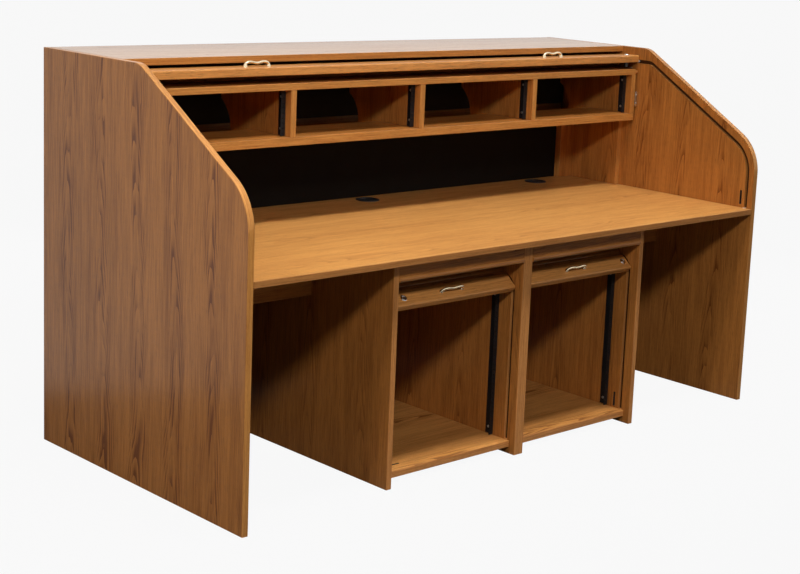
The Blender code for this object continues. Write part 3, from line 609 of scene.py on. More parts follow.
def build_speckle_group() -> bpy.types.NodeTree:
    """The group for powder coat, board and plastic: fine grains and slow clouds.

    Returns:
        The node group, which gives a tone round one, a roughness change and a height.
    """
    tree, given, made = new_group(
        "speckle", [("Vector", "Vector"), ("Grain", "Float")],
        [("Tone", "Float"), ("Wear", "Float"), ("Height", "Float")])
    grain = tree.node("ShaderNodeTexNoise")
    tree.feed(grain.inputs["Vector"], given.outputs["Vector"])
    tree.feed(grain.inputs["Scale"], given.outputs["Grain"])
    cloud = tree.noise(given.outputs["Vector"], 14.0, 3.0)
    tree.feed(made.inputs["Tone"], tree.math(
        "MULTIPLY", tree.spread(grain.outputs[0], 0.3, 0.7, 0.85, 1.15),
        tree.spread(cloud, 0.3, 0.7, 0.88, 1.12)))
    tree.feed(made.inputs["Wear"], tree.spread(cloud, 0.3, 0.7, -0.06, 0.06))
    tree.feed(made.inputs["Height"], grain.outputs[0])
    return tree.tree


class Grain(Enum):
    """Which world axes run across the leaves, along the grain and through the board."""

    UPRIGHT_SIDE = (1, 2, 0)
    UPRIGHT_FRONT = (0, 2, 1)
    LONG_FLAT = (1, 0, 2)
    LONG_FRONT = (2, 0, 1)


class Groups:
    """The shared shader groups, built once."""

    def __init__(self) -> None:
        """Build every group."""
        self.veneer = VeneerFigure().build()
        self.band = build_band_group()
        self.speckle = build_speckle_group()


def start_material(name: str) -> tuple[bpy.types.Material, Tree, bpy.types.Node]:
    """A new material.

    Args:
        name: Its name.

    Returns:
        The material, its tree and its Principled shader.
    """
    material = bpy.data.materials.new(name)
    material.use_nodes = True
    tree = Tree(material.node_tree)
    return material, tree, material.node_tree.nodes["Principled BSDF"]


def add_bump(tree: Tree, shader: bpy.types.Node, height: Value, distance: float) -> None:
    """Feed a height to the shader's normal through a Bump node.

    Args:
        tree: The material's tree.
        shader: Its Principled shader.
        height: The height, from 0 to 1.
        distance: How many metres a height of 1 stands for.
    """
    bump = tree.node("ShaderNodeBump")
    tree.feed(bump.inputs["Height"], height)
    bump.inputs["Distance"].default_value = distance
    bump.inputs["Strength"].default_value = 0.6
    tree.feed(shader.inputs["Normal"], bump.outputs[0])


@dataclass(frozen=True)
class OakFinish:
    """Stained and lacquered oak.

    Args:
        name: The material's name.
        grain: How the pattern lies on the piece.
        leaf: Width of one veneer leaf.
        figure: Strength of the arches, from 0 to 1.
        pale: Colour of the late wood.
        deep: Colour of the porous bands.
        shift: Offset of the pattern along each of its axes.
        banded: Whether the edges carry a solid band.
        own_uv: Whether the pattern follows the piece's own UV map.
        sheen: Specular level of the wood itself.
        lacquer: Weight of the clear coat.
        band: Pale and deep colour of the edge band.
        inner: Distance from the middle under which the figure is calmer, and its strength.
        groove_shade_span: Between which distances from the middle a face lies in a groove.
        groove: Colour of painted shade on the floors of grooves and slots, laid on for the shade
            that falls in them, with some grime.
    """

    name: str
    grain: Grain
    leaf: float = 0.205
    figure: float = 0.75
    pale: tuple[float, float, float] = (0.50, 0.190, 0.040)
    deep: tuple[float, float, float] = (0.17, 0.048, 0.009)
    shift: tuple[float, float, float] = (0.0, 0.0, 0.0)
    banded: bool = True
    own_uv: bool = False
    sheen: float = 0.15
    lacquer: float = 0.32
    band: tuple[tuple[float, float, float], tuple[float, float, float]] = (
        (0.58, 0.260, 0.064), (0.30, 0.102, 0.019))
    inner: Optional[tuple[float, float]] = None
    # The next two fields paint shade, with some grime, on the floors of grooves and slots.
    groove_shade_span: Optional[tuple[float, float]] = None
    groove: tuple[float, float, float] = (0.050, 0.016, 0.004)

    def build(self, groups: Groups) -> bpy.types.Material:
        """The material.

        Args:
            groups: The shared shader groups.

        Returns:
            The finished material.
        """
        material, tree, shader = start_material(self.name)
        source = tree.node("ShaderNodeTexCoord")
        parts = tree.split(source.outputs["Object"])
        order = self.grain.value
        if self.own_uv:
            parts = tree.split(source.outputs["UV"])
            order = (0, 1, 2)
        mapping = tree.node("ShaderNodeMapping")
        tree.feed(mapping.inputs["Vector"], tree.joined(*(parts[k] for k in order)))
        mapping.inputs["Location"].default_value = self.shift
        veneer = tree.node("ShaderNodeGroup", node_tree=groups.veneer)
        tree.feed(veneer.inputs["Vector"], mapping.outputs[0])
        for label, value in (("Leaf", self.leaf), ("Figure", self.figure),
                             ("Pale", (*self.pale, 1.0)), ("Deep", (*self.deep, 1.0))):
            veneer.inputs[label].default_value = value
        if self.inner:
            reach, calm = self.inner
            side = tree.math("ABSOLUTE", tree.split(source.outputs["Object"])[0])
            outer = tree.math("GREATER_THAN", side, reach)
            tree.feed(veneer.inputs["Figure"],
                      tree.math("MULTIPLY_ADD", outer, self.figure - calm, calm))
        colour = veneer.outputs["Color"]
        if self.banded:
            sides = tree.split(source.outputs["Normal"])
            band = tree.node("ShaderNodeGroup", node_tree=groups.band)
            tree.feed(band.inputs["Vector"], mapping.outputs[0])
            tree.feed(band.inputs["Normal"], tree.joined(*(sides[k] for k in order)))
            tree.feed(band.inputs["Face"], colour)
            band.inputs["Pale"].default_value = (*self.band[0], 1.0)
            band.inputs["Deep"].default_value = (*self.band[1], 1.0)
            colour = band.outputs["Color"]
        # Painted shade: faces that lie in a groove or slot are darkened to the groove colour, for
        # the shade that falls there.
        if self.groove_shade_span:
            side = tree.math("ABSOLUTE", tree.split(source.outputs["Object"])[0])
            facing = tree.math("ABSOLUTE", tree.split(source.outputs["Normal"])[0])
            deeper = tree.math("GREATER_THAN", side, self.groove_shade_span[0])
            inside = tree.math("LESS_THAN", side, self.groove_shade_span[1])
            mask = tree.math("MULTIPLY", tree.math("MULTIPLY", deeper, inside),
                             tree.math("GREATER_THAN", facing, 0.9))
            colour = tree.mix(mask, colour, (*self.groove, 1.0))
        tree.feed(shader.inputs["Base Color"], colour)
        tree.feed(shader.inputs["Roughness"], veneer.outputs["Roughness"])
        shader.inputs["Specular IOR Level"].default_value = self.sheen
        shader.inputs["Coat Weight"].default_value = self.lacquer
        shader.inputs["Coat Roughness"].default_value = 0.16
        add_bump(tree, shader, veneer.outputs["Height"], 0.00025)
        return material


@dataclass(frozen=True)
class PlainFinish:
    """Metal, coated steel, board or plastic.

    Args:
        name: The material's name.
        colour: Its base colour.
        roughness: Its mean roughness.
        metallic: 1 for bare metal.
        grain: Grains per metre of its texture.
        relief: Depth of the texture in metres.
        gloss: Specular level of what isn't metal.
    """

    name: str
    colour: tuple[float, float, float]
    roughness: float
    metallic: float = 0.0
    grain: float = 900.0
    relief: float = 0.00008
    gloss: float = 0.5

    def build(self, groups: Groups) -> bpy.types.Material:
        """The material.

        Args:
            groups: The shared shader groups.

        Returns:
            The finished material.
        """
        material, tree, shader = start_material(self.name)
        source = tree.node("ShaderNodeTexCoord")
        speckle = tree.node("ShaderNodeGroup", node_tree=groups.speckle)
        tree.feed(speckle.inputs["Vector"], source.outputs["Object"])
        speckle.inputs["Grain"].default_value = self.grain
        tone = speckle.outputs["Tone"]
        tree.feed(shader.inputs["Base Color"], tree.mix(
            1.0, (*self.colour, 1.0), tree.joined(tone, tone, tone), "MULTIPLY"))
        tree.feed(shader.inputs["Roughness"],
                  tree.math("ADD", speckle.outputs["Wear"], self.roughness))
        shader.inputs["Metallic"].default_value = self.metallic
        shader.inputs["Specular IOR Level"].default_value = self.gloss
        add_bump(tree, shader, speckle.outputs["Height"], self.relief)
        return material


# Edge bands of the pedestal, which are paler than its veneer
SHADED_BAND = ((0.63, 0.270, 0.076), (0.33, 0.115, 0.026))


class Paint:
    """Every finish of the console, by name."""

    def __init__(self) -> None:
        """Build the groups and the materials."""
        groups = Groups()
        oak = [
            OakFinish("oak_end_panel", Grain.UPRIGHT_SIDE, leaf=0.175, figure=1.35, lacquer=0.26,
                      inner=(1.0392, 0.70), groove_shade_span=(1.0392, 1.0560)),
            OakFinish("oak_upright", Grain.UPRIGHT_SIDE, leaf=0.230, figure=0.6,
                      shift=(0.31, 0.7, 0.0)),
            OakFinish("oak_pedestal_side", Grain.UPRIGHT_SIDE, leaf=0.230, figure=0.6,
                      shift=(0.11, 0.4, 0.0), groove_shade_span=(0.5130, 0.5290), band=SHADED_BAND),
            OakFinish("oak_pedestal_centre", Grain.UPRIGHT_SIDE, leaf=0.230, figure=0.6,
                      shift=(0.21, 0.1, 0.0), groove_shade_span=(0.0, 0.0170), band=SHADED_BAND),
            OakFinish("oak_stile", Grain.UPRIGHT_FRONT, leaf=0.30, figure=0.4,
                      shift=(0.1, 0.2, 0.0)),
            OakFinish("oak_back", Grain.UPRIGHT_FRONT, leaf=0.245, figure=1.0,
                      shift=(0.05, 0.4, 0.0)),
            OakFinish("oak_desk", Grain.LONG_FLAT, leaf=0.290, figure=0.5,
                      pale=(0.66, 0.310, 0.084), deep=(0.33, 0.117, 0.024),
                      shift=(0.12, 0.9, 0.0), band=((0.44, 0.185, 0.050), (0.24, 0.085, 0.02))),
            # Painted shade: the top's oak colours are darker than the desk's, to stand in for less
            # light falling on the top; its heavier lacquer is a real coat.
            OakFinish("oak_top_painted_shade", Grain.LONG_FLAT, leaf=0.290, figure=0.5,
                      pale=(0.48, 0.240, 0.085), deep=(0.27, 0.105, 0.030), lacquer=0.52,
                      shift=(0.12, 0.2, 0.0), band=((0.56, 0.230, 0.050), (0.30, 0.10, 0.02))),
            OakFinish("oak_board", Grain.LONG_FLAT, leaf=0.260, figure=0.6,
                      shift=(0.4, 0.3, 0.0)),
            OakFinish("oak_shelf", Grain.LONG_FLAT, leaf=0.320, figure=1.4,
                      pale=(0.62, 0.280, 0.075), deep=(0.24, 0.080, 0.016),
                      shift=(0.1, 0.34, 0.0), band=SHADED_BAND),
            OakFinish("oak_front", Grain.LONG_FRONT, leaf=0.230, figure=0.8,
                      shift=(0.03, 0.5, 0.0)),
            OakFinish("oak_bar", Grain.LONG_FLAT, leaf=0.400, figure=0.0, banded=False,
                      pale=(0.66, 0.285, 0.075), deep=(0.26, 0.085, 0.018),
                      shift=(0.07, 0.1, 0.0)),
            OakFinish("oak_slat", Grain.LONG_FLAT, leaf=0.110, figure=0.45, banded=False,
                      pale=(0.58, 0.240, 0.062), own_uv=True),
        ]
        plain = [
            PlainFinish("black_board", (0.007, 0.005, 0.0035), 0.80, grain=500.0, gloss=0.12),
            PlainFinish("black_powder_coat", (0.010, 0.010, 0.011), 0.45, grain=1400.0,
                        gloss=0.3),
            PlainFinish("polished_brass", (0.86, 0.71, 0.47), 0.17, 1.0, relief=0.00002),
            PlainFinish("nickel_plate", (0.76, 0.74, 0.70), 0.22, 1.0, relief=0.00002),
            PlainFinish("zinc_steel", (0.62, 0.62, 0.61), 0.33, 1.0, relief=0.00003),
            # Painted shade: zinc given a near-black colour for the shade that the lock bodies and
            # cams sit in.
            PlainFinish("zinc_darkened_for_shade", (0.09, 0.088, 0.085), 0.42, 1.0),
            PlainFinish("black_plastic", (0.018, 0.018, 0.019), 0.46),
            PlainFinish("white_nylon", (0.80, 0.79, 0.75), 0.40),
        ]
        self.materials = {finish.name: finish.build(groups) for finish in oak + plain}

    def dress(self, node: str, name: str) -> None:
        """Give a CAD node one of the finishes, in every material slot."""
        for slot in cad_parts[node].material_slots:
            slot.material = self.materials[name]

    def piece(self, name: str, shape: Shape, finish: str, body: Optional[str],
              slot: Optional[str] = None, sharp: float = 38.0) -> bpy.types.Object:
        """Make a shape a named object of the console.

        Args:
            name: The object's name.
            shape: Its mesh in world places at rest.
            finish: The name of its finish.
            body: The CAD body that it rides on, or None for a piece that rides on none.
            slot: The record's material slot, if it has one. It is not used.
            sharp: Edges steeper than this many degrees stay sharp.

        Returns:
            The object.
        """
        mesh = bpy.data.meshes.new(name)
        mesh.from_pydata(shape.points.tolist(), [], shape.faces)
        if shape.uv is not None:
            layer = mesh.uv_layers.new(name="grain")
            corners = np.empty(len(mesh.loops), dtype=np.int32)
            mesh.loops.foreach_get("vertex_index", corners)
            layer.data.foreach_set("uv", shape.uv[corners].astype(np.float32).ravel())
        mesh.update()
        mesh.shade_smooth()
        mesh.set_sharp_from_angle(angle=math.radians(sharp))
        mesh.materials.append(self.materials[finish])
        obj = bpy.data.objects.new(name, mesh)
        bpy.context.scene.collection.objects.link(obj)
        if body:
            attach(obj, body)
        log.info("%s: %d faces in %s", name, len(shape.faces), finish)
        return obj


# Carcass


def rack_rails() -> list[str]:
    """Names of the nodes that are rack rails."""
    return [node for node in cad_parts
            if "_rail_" in node and not node.startswith("knee")]


class Carcass:
    """The boards of the console and the finish of each."""

    FINISHES = {
        "oak_end_panel": ("end_panel_left", "end_panel_right"),
        "oak_pedestal_side": ("pedestal_side_left", "pedestal_side_right"),
        "oak_pedestal_centre": ("pedestal_centre",),
        "oak_upright": ("overhead_end_left", "overhead_end_right", "overhead_divider_left",
                        "overhead_divider_centre", "overhead_divider_right",
                        "overhead_leg_left", "overhead_leg_right"),
        "oak_stile": ("back_stile_left", "back_stile_right"),
        "oak_back": ("rear_panel",),
        "oak_desk": ("desktop",),
        "oak_top_painted_shade": ("top_panel",),
        "oak_shelf": ("shelf_left", "shelf_right"),
        "oak_board": ("overhead_top_board", "overhead_bottom_board", "main_curtain",
                      "door_left_curtain", "door_right_curtain"),
        "oak_front": ("header_left", "header_right", "knee_rail_left", "knee_rail_right"),
        "oak_bar": ("main_lead_bar", "door_left_lead_bar", "door_right_lead_bar"),
        "black_board": ("back_liner", "overhead_back"),
        "zinc_steel": ("door_left_guide_rod", "door_right_guide_rod"),
    }

    def build(self, paint: Paint) -> None:
        """Dress the boards, and every rack rail in powder coat."""
        for finish, nodes in self.FINISHES.items():
            for node in nodes:
                paint.dress(node, finish)
        for node in rack_rails():
            paint.dress(node, "black_powder_coat")


@dataclass
class Screws:
    """Cross-recessed pan heads that hold the rack rails.

    Args:
        radius: Radius of a head.
        height: Height of a head.
        recess: Reach, half width and depth of the cross.
        behind_front: How far behind the rail's face the screws stand.
        from_end: How far they stand from each end of the rail.
        flange: Thickness of the rail's flange under a head.
        sides: Points round a head.
    """

    radius: float = 0.0042
    height: float = 0.0022
    recess: tuple[float, float, float] = (0.0021, 0.00055, 0.0012)
    behind_front: float = 0.018
    from_end: float = 0.020
    flange: float = 0.002
    sides: int = 32

    def head(self) -> Shape:
        """One head: rings from its rim over the dome and down into the cross."""
        arm, half_width, deep = self.recess
        way = circle(self.sides)
        cross = cross_outline(arm, half_width, self.sides)
        dome = [(1.0, 0.0), (1.0, 0.25), (0.92, 0.62), (0.74, 0.92), (0.62, 1.0)]
        rings = [(way * self.radius * r, self.height * h) for r, h in dome]
        rings += [(cross, self.height), (cross, self.height - deep)]
        return loft(stacked(rings))

    def build(self, paint: Paint) -> None:
        """Two heads on the side flange of every rail.

        Args:
            paint: The finishes.
        """
        head = self.head()
        for node in rack_rails():
            low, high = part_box(node)
            side = 1.0 if node.endswith("_left") else -1.0
            face = low[0] + self.flange if side > 0 else high[0] - self.flange
            ends = (low[2] + self.from_end, high[2] - self.from_end)
            places = [Place((face, low[1] + self.behind_front, z), (0, side, 0), (0, 0, 1),
                            (side, 0, 0)) for z in ends]
            paint.piece(node + "_screws", combine([place.put(head) for place in places]),
                        "zinc_steel", "carcass", "bright_steel")


@dataclass
class Brackets:
    """Narrow steel straps that tie the overhead unit to the end panels.

    Args:
        half_width: Half of a strap's width, in the gap beside the unit.
        heights: Its lower and upper end.
        distance: How far behind the front edges its face stands.
        thickness: Thickness of a strap.
        screw: Where its screws stand, as a share of the way to its ends.
        sides: Points round a strap.
    """

    half_width: float = 0.0056
    heights: tuple[float, float] = (0.960, 1.013)
    distance: float = 0.5335
    thickness: float = 0.0015
    screw: float = 0.55
    sides: int = 40

    def build(self, paint: Paint, screws: Screws) -> None:
        """One strap with two screws on each side.

        Args:
            paint: The finishes.
            screws: What its screw heads are made by.
        """
        gap = (HALF_OVERHEAD + HALF_INSIDE) / 2
        middle = sum(self.heights) / 2
        half = (self.heights[1] - self.heights[0]) / 2
        outline = slot_outline(half, self.half_width, self.sides)
        strap = plate(outline, 0.0, self.thickness, 0.0004)
        head = screws.head()
        for side, label in ((-1, "left"), (1, "right")):
            place = Place((side * gap, behind(self.distance), middle), (0, 0, 1),
                          (1, 0, 0), (0, -1, 0))
            heads = [place.shifted(reach, 0, self.thickness).put(head)
                     for reach in (-half * self.screw, half * self.screw)]
            paint.piece(f"overhead_bracket_{label}", combine([place.put(strap), *heads]),
                        "zinc_steel", "carcass", "bright_steel")


@dataclass
class StrikeLiners:
    """Black trays in the three slots that take the cams of the locks. Their black also paints the
    shade inside the slots.

    Args:
        half_length: Half of a tray's length.
        half_width: Half of its width.
        deep: How deep its foot lies.
        wall: Thickness of its walls.
        main: Distance behind the front of the slot in the end panel.
        door: Distance behind the front of the two slots in the pedestal.
        door_height: Height of the middle of the upright one.
        lock_from_left: How far the one in the shelf lies from the left of its bay.
    """

    half_length: float = 0.0238
    half_width: float = 0.0038
    deep: float = 0.0118
    wall: float = 0.0004
    main: float = 0.04875
    door: float = 0.10875
    door_height: float = 0.070
    lock_from_left: float = 0.061

    def tray(self) -> Shape:
        """One tray: rings of four corners up its outside and down its inside."""
        corners = np.array([(-1, -1), (1, -1), (1, 1), (-1, 1)], float)
        outer = corners * (self.half_length, self.half_width)
        inner = outer - corners * self.wall
        return loft(stacked([(outer, -self.deep), (outer, -FIT), (inner, -FIT),
                             (inner, self.wall - self.deep)]))

    def build(self, paint: Paint) -> None:
        """One tray in the right end panel, in the left shelf and in the pedestal's right side.

        Args:
            paint: The finishes.
        """
        upright = ((0, 0, 1), (0, 1, 0), (-1, 0, 0))
        tray = self.tray()
        main = (HALF_INSIDE, behind(self.main), TRACK_FOOT + MAIN_BAR_WIDTH / 2)
        left = (BAY_LEFT["left"] + self.lock_from_left, behind(self.door), SHELF_TOP)
        right = (BAY_LEFT["right"] + BAY_WIDTH, behind(self.door), self.door_height)
        # The trays' black plastic also stands in for the shade inside the slots: painted shade.
        for name, place in (("main", Place(main, *upright)), ("door_left", Place(left)),
                            ("door_right", Place(right, *upright))):
            paint.piece(name + "_strike_liner", place.put(tray), "black_plastic", "carcass",
                        "black_plastic")


@dataclass
class Grommets:
    """Round cable liners with a notched cap.

    Args:
        hole: Radius of the liner's tube.
        flange: Radius of its flange.
        wall: Thickness of the tube.
        flange_height: How far the flange stands over the desk.
        foot: How far the tube reaches under the top of the desk.
        notch: Half width and length of the cable notch.
        sides: Points round it.
    """

    hole: float = 0.0314
    flange: float = 0.039
    wall: float = 0.003
    flange_height: float = 0.0025
    foot: float = 0.022
    notch: tuple[float, float] = (0.011, 0.014)
    sides: int = 96

    def cap_outline(self, radius: float) -> np.ndarray:
        """The cap's rim: a circle, nearer where the notch's floor or sides cut it.

        In the notch a direction ends at the floor, or at the side where that is
        nearer: the floor's distance over the sine, or half the notch over the cosine.

        Args:
            radius: Radius of the cap.

        Returns:
            Its points, one row each.
        """
        way = circle(self.sides)
        half, length = self.notch
        floor = radius - length
        forward = np.maximum(way[:, 1], TINY)
        aside = np.maximum(np.abs(way[:, 0]), TINY)
        in_notch = way[:, 1] > math.cos(math.asin(half / radius))
        cut = np.where(aside / forward < half / floor, floor / forward, half / aside)
        return way * np.where(in_notch, np.minimum(cut, radius), radius)[:, None]

    def build(self, paint: Paint) -> None:
        """A ring and a cap for each of the three cable holes.

        Args:
            paint: The finishes.
        """
        bore = self.hole - self.wall
        top = self.flange_height
        foot = -self.foot
        ring = turned([(bore, foot), (self.hole, foot), (self.hole, FIT), (self.flange, FIT),
                       (self.flange, 0.0010), (self.flange - 0.0006, 0.0019),
                       (self.flange - 0.0018, top), (bore + 0.0012, top),
                       (bore + 0.0004, top - 0.0003), (bore, top - 0.001)], self.sides, True)
        rim = self.cap_outline(bore - 0.0004)
        inner = rim * 0.985
        cap = loft(stacked([(inner, -0.0012), (rim, -0.0008), (rim, 0.0010), (inner, 0.0014),
                            (inner * 0.86, 0.0014), (inner * 0.84, 0.0009)]))
        for label in ("left", "centre", "right"):
            node = "grommet_" + label
            low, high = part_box(node)
            middle = ((low[0] + high[0]) / 2, (low[1] + high[1]) / 2, DESK_TOP)
            shape = combine([Place(middle).put(ring), Place(middle).put(cap)])
            piece = paint.piece(node + "_liner", shape, "black_plastic", "carcass",
                                "black_plastic")
            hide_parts(node)


# Lead bars and their hardware


@dataclass
class BowPull:
    """A cast bow pull.

    Args:
        centres: Distance between its feet.
        height: Height of its crown over the bar.
        rod: Radius of the bow.
        foot: Radius of a foot.
        dip: How far its middle dips.
        dip_width: Width of the dip, as a share of half the pull.
        swell: Height over which a foot narrows to the rod.
        shoulder: Power of the cosine that spaces the arch.
        crown: Power of the sine that lifts it.
        steps: Rings along the bow.
        sides: Points round the rod.
    """

    centres: float = 0.082
    height: float = 0.0190
    rod: float = 0.0040
    foot: float = 0.0068
    dip: float = 0.0052
    dip_width: float = 0.42
    swell: float = 0.005
    shoulder: float = 0.62
    crown: float = 0.55
    steps: int = 72
    sides: int = 24

    def shape(self) -> Shape:
        """The bow as a tube along an arch.

        The arch runs from foot to foot as t goes from 0 to pi: its place across is
        the cosine to the power shoulder and its height the sine to the power crown,
        less a bell-shaped dip in the middle. The tube's radius swells towards each
        foot with the bell of its height. The steps of t are drawn closer at the feet.

        Returns:
            The closed tube, standing on local Z zero.
        """
        t = np.linspace(0.0, math.pi, self.steps + 1)
        t = t - 0.35 * np.sin(2 * t) / 2
        across = np.sign(np.cos(t)) * np.abs(np.cos(t)) ** self.shoulder
        rise = np.clip(np.sin(t), 0.0, 1.0) ** self.crown
        dip = self.dip * np.exp(-((across / self.dip_width) ** 2))
        x = self.centres / 2 * across
        z = np.maximum((self.height - self.rod - dip) * rise, FIT)
        ahead = np.stack([np.gradient(x), np.gradient(z)], -1)
        ahead[0], ahead[-1] = (0.0, 1.0), (0.0, -1.0)
        ahead /= np.linalg.norm(ahead, axis=1, keepdims=True)
        radius = self.rod + (self.foot - self.rod) * np.exp(-((z / self.swell) ** 2))
        way = circle(self.sides) * radius[:, None, None]
        sideways, upward = way[..., 0], way[..., 1]
        rings = np.stack([x[:, None] + ahead[:, 1:] * upward, sideways,
                          z[:, None] - ahead[:, :1] * upward], -1)
        return loft(rings)


@dataclass
class CamLock:
    """A cam lock: a flanged barrel, and a slotted plug that carries the cam.

    Args:
        place: The lead bar's frame moved to the lock.
        outside: Height of the bar's outer face.
        back: Depth of the cam's near face.
        reach: Length of the cam from the lock's axis.
        points: Direction of the cam at rest, in the frame's X and Y.
        barrel: Radius of the barrel.
        flange: Radius of its flange.
        cap: How deep the bright cap reaches into the bar.
        plug: Radius of the plug.
        proud: How far the plug's face stands over the bar.
        key: Half length, half width and depth of the key slot.
        cam_half: Half of the cam's width, and the radius of its heel.
        cam_thickness: Thickness of the cam.
        tip: Width of the cam's tip, as a share of its heel's.
        sides: Points round the lock.
    """

    place: Place
    outside: float
    back: float
    reach: float
    points: tuple[float, float]
    barrel: float = 0.008
    flange: float = 0.0105
    cap: float = 0.006
    plug: float = 0.0055
    proud: float = 0.0015
    key: tuple[float, float, float] = (0.0033, 0.00075, 0.0035)
    cam_half: float = 0.006
    cam_thickness: float = 0.0025
    tip: float = 0.72
    sides: int = 56

    def barrel_shape(self) -> Shape:
        """The barrel: a ring turned from a closed profile with a rounded flange."""
        bore = self.plug + FIT
        low, top = self.outside - self.cap, self.outside
        return turned([(bore, low), (self.barrel, low), (self.barrel, top + FIT),
                       (self.flange, top + FIT), (self.flange, top + 0.0008),
                       (self.flange - 0.0006, top + 0.0016), (self.flange - 0.0020, top + 0.0021),
                       (self.plug + 0.0011, top + 0.0021), (self.plug + 0.0006, top + 0.0018),
                       (bore, top + 0.0012)], self.sides, True)

    def body_shape(self) -> Shape:
        """The body of the barrel behind the flange: a plain ring with eased ends."""
        bore, ease = self.plug + FIT, 0.0005
        low, top = -self.back + 2 * FIT, self.outside - self.cap
        return turned([(bore, low), (self.barrel - ease, low), (self.barrel, low + ease),
                       (self.barrel, top), (bore, top)], self.sides, True)

    def plug_shape(self) -> Shape:
        """The plug: rings from its tail to its face, then down into the key slot."""
        way = circle(self.sides)
        half_length, half_width, deep = self.key
        slot = slot_outline(half_length, half_width, self.sides)
        face, ease = self.outside + self.proud, 0.0004
        return loft(stacked([(way * self.plug, -self.back + FIT), (way * self.plug, face - ease),
                             (way * (self.plug - ease), face), (slot, face),
                             (slot, face - deep)]))

    def cam_shape(self) -> Shape:
        """The cam: a plate with a round heel, narrowed to its tip."""
        half = self.cam_half
        outline = slot_outline((self.reach + half) / 2, half, 48)
        outline = outline + np.array([(self.reach - half) / 2, 0.0])
        outline[:, 1] *= np.interp(outline[:, 0], [0.0, self.reach], [1.0, self.tip])
        aim = np.array([self.points, (-self.points[1], self.points[0])])
        return plate(outline @ aim, -self.back - self.cam_thickness, -self.back, 0.0003)

    def build(self, paint: Paint, name: str, bar: str, cam: str) -> None:
        """Make the lock and let it stand for the CAD barrel and cam.

        Args:
            paint: The finishes.
            name: The lock's name.
            bar: The body that carries the barrel.
            cam: The body that carries the plug and the cam.
        """
        barrel = paint.piece(name + "_barrel_turned", self.place.put(self.barrel_shape()),
                             "nickel_plate", bar, "nickel", 32.0)
        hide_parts(name + "_barrel")
        # The barrel body and the cam plate are zinc painted dark for the shade under the bar.
        paint.piece(name + "_barrel_body", self.place.put(self.body_shape()),
                    "zinc_darkened_for_shade", bar, "nickel", 32.0)
        paint.piece(name + "_plug", self.place.put(self.plug_shape()), "nickel_plate", cam,
                    "nickel", 32.0)
        lever = paint.piece(name + "_cam_plate", self.place.put(self.cam_shape()),
                            "zinc_darkened_for_shade", cam, "nickel", 32.0)
        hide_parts(name + "_cam")


# Curtains


class Line:
    """A groove's centre line in distances behind the front and heights."""

    def __init__(self, corners: Sequence[tuple[float, float, float]]) -> None:
        """Round each corner by an arc that touches both of its sides.

        Args:
            corners: Distance, height and radius of each corner.
        """
        places = np.array([corner[:2] for corner in corners], float)
        parts = [places[:1]]
        for before, corner, after, (_, _, radius) in zip(
                places, places[1:], places[2:], corners[1:-1]):
            back, ahead = before - corner, after - corner
            back, ahead = back / np.linalg.norm(back), ahead / np.linalg.norm(ahead)
            half = math.acos(float(back @ ahead)) / 2
            middle = (back + ahead) / np.linalg.norm(back + ahead)
            centre = corner + middle * radius / math.sin(half)
            spread = np.linspace(half - math.pi / 2, math.pi / 2 - half, 33)[:, None]
            side = np.array([-middle[1], middle[0]])
            side = side * np.sign(side @ ahead)
            parts.append(centre - radius * middle * np.cos(spread)
                         + radius * side * np.sin(spread))
        self.points = np.concatenate([*parts, places[-1:]])
        steps = np.linalg.norm(np.diff(self.points, axis=0), axis=1)
        self.length = np.concatenate([[0.0], np.cumsum(steps)])

    def at(self, distance: np.ndarray) -> tuple[np.ndarray, np.ndarray]:
        """Places and directions along the line.

        Args:
            distance: Distances along it.

        Returns:
            The places, and unit directions from the difference 2 mm on either side.
        """
        y = np.interp(distance, self.length, self.points[:, 0])
        z = np.interp(distance, self.length, self.points[:, 1])
        step = 0.002
        ahead = np.stack([np.interp(distance + step, self.length, self.points[:, 0])
                          - np.interp(distance - step, self.length, self.points[:, 0]),
                          np.interp(distance + step, self.length, self.points[:, 1])
                          - np.interp(distance - step, self.length, self.points[:, 1])], -1)
        return np.stack([y, z], -1), ahead / np.linalg.norm(ahead, axis=1, keepdims=True)


@dataclass
class Slat:
    """One slat with a crowned front.

    Args:
        pitch: Distance from one slat to the next.
        thickness: Its thickness.
        crown: How much its front is crowned.
        gap: The gap to the next slat.
        ease: How far its edges are rounded.
        jump: How far its pattern is moved from the last slat's, in pitches across and
            in metres along.
    """

    pitch: float
    thickness: float
    crown: float = 0.0014
    gap: float = 0.0007
    ease: float = 0.0006
    jump: tuple[float, float] = (1.7, 0.37)

    def shape(self, span: tuple[float, float], centre: np.ndarray, ahead: np.ndarray,
              out: np.ndarray, number: int) -> Shape:
        """The slat across the console.

        Its section is the same at both ends: a flat back, eased sides and a front
        whose height falls with the square of the distance from the middle.

        Args:
            span: Its two ends in world X.
            centre: World Y and Z of its middle.
            ahead: Direction along the curtain.
            out: Direction of its front.
            number: Its place in the curtain, which moves its pattern.

        Returns:
            The closed slat.
        """
        half = (self.pitch - self.gap) / 2
        rise = self.thickness / 2
        front = np.linspace(1.0, -1.0, 7)
        section = [(-half, -rise), (half, -rise), (half, rise - self.crown - self.ease)]
        section += [(0.94 * half * s, rise - self.crown * s * s) for s in front]
        section += [(-half, rise - self.crown - self.ease)]
        flat = np.array(section)
        places = centre + flat[:, :1] * ahead + flat[:, 1:] * out
        inner = centre + 0.94 * flat[:, :1] * ahead + 0.9 * flat[:, 1:] * out
        rings = [(span[0], inner), (span[0] + self.ease, places), (span[1] - self.ease, places),
                 (span[1], inner)]
        rings = np.stack([np.column_stack([np.full(len(p), x), p]) for x, p in rings])
        skin = loft(rings)
        around = np.append(np.tile(np.linspace(0.0, 2 * half, len(flat)), 4), [half, half])
        across, along = self.jump
        return Shape(skin.points, skin.faces, np.column_stack(
            [around + number * self.pitch * across, skin.points[:, 0] + along * number]))


def constant_share(piece: bpy.types.Object) -> None:
    """Bake a piece's place into its mesh; no blend between bodies is set.

    Args:
        piece: The piece.
    """
    corners = np.empty(3 * len(piece.data.vertices), dtype=np.float32)
    piece.data.vertices.foreach_get("co", corners)
    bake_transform(piece)


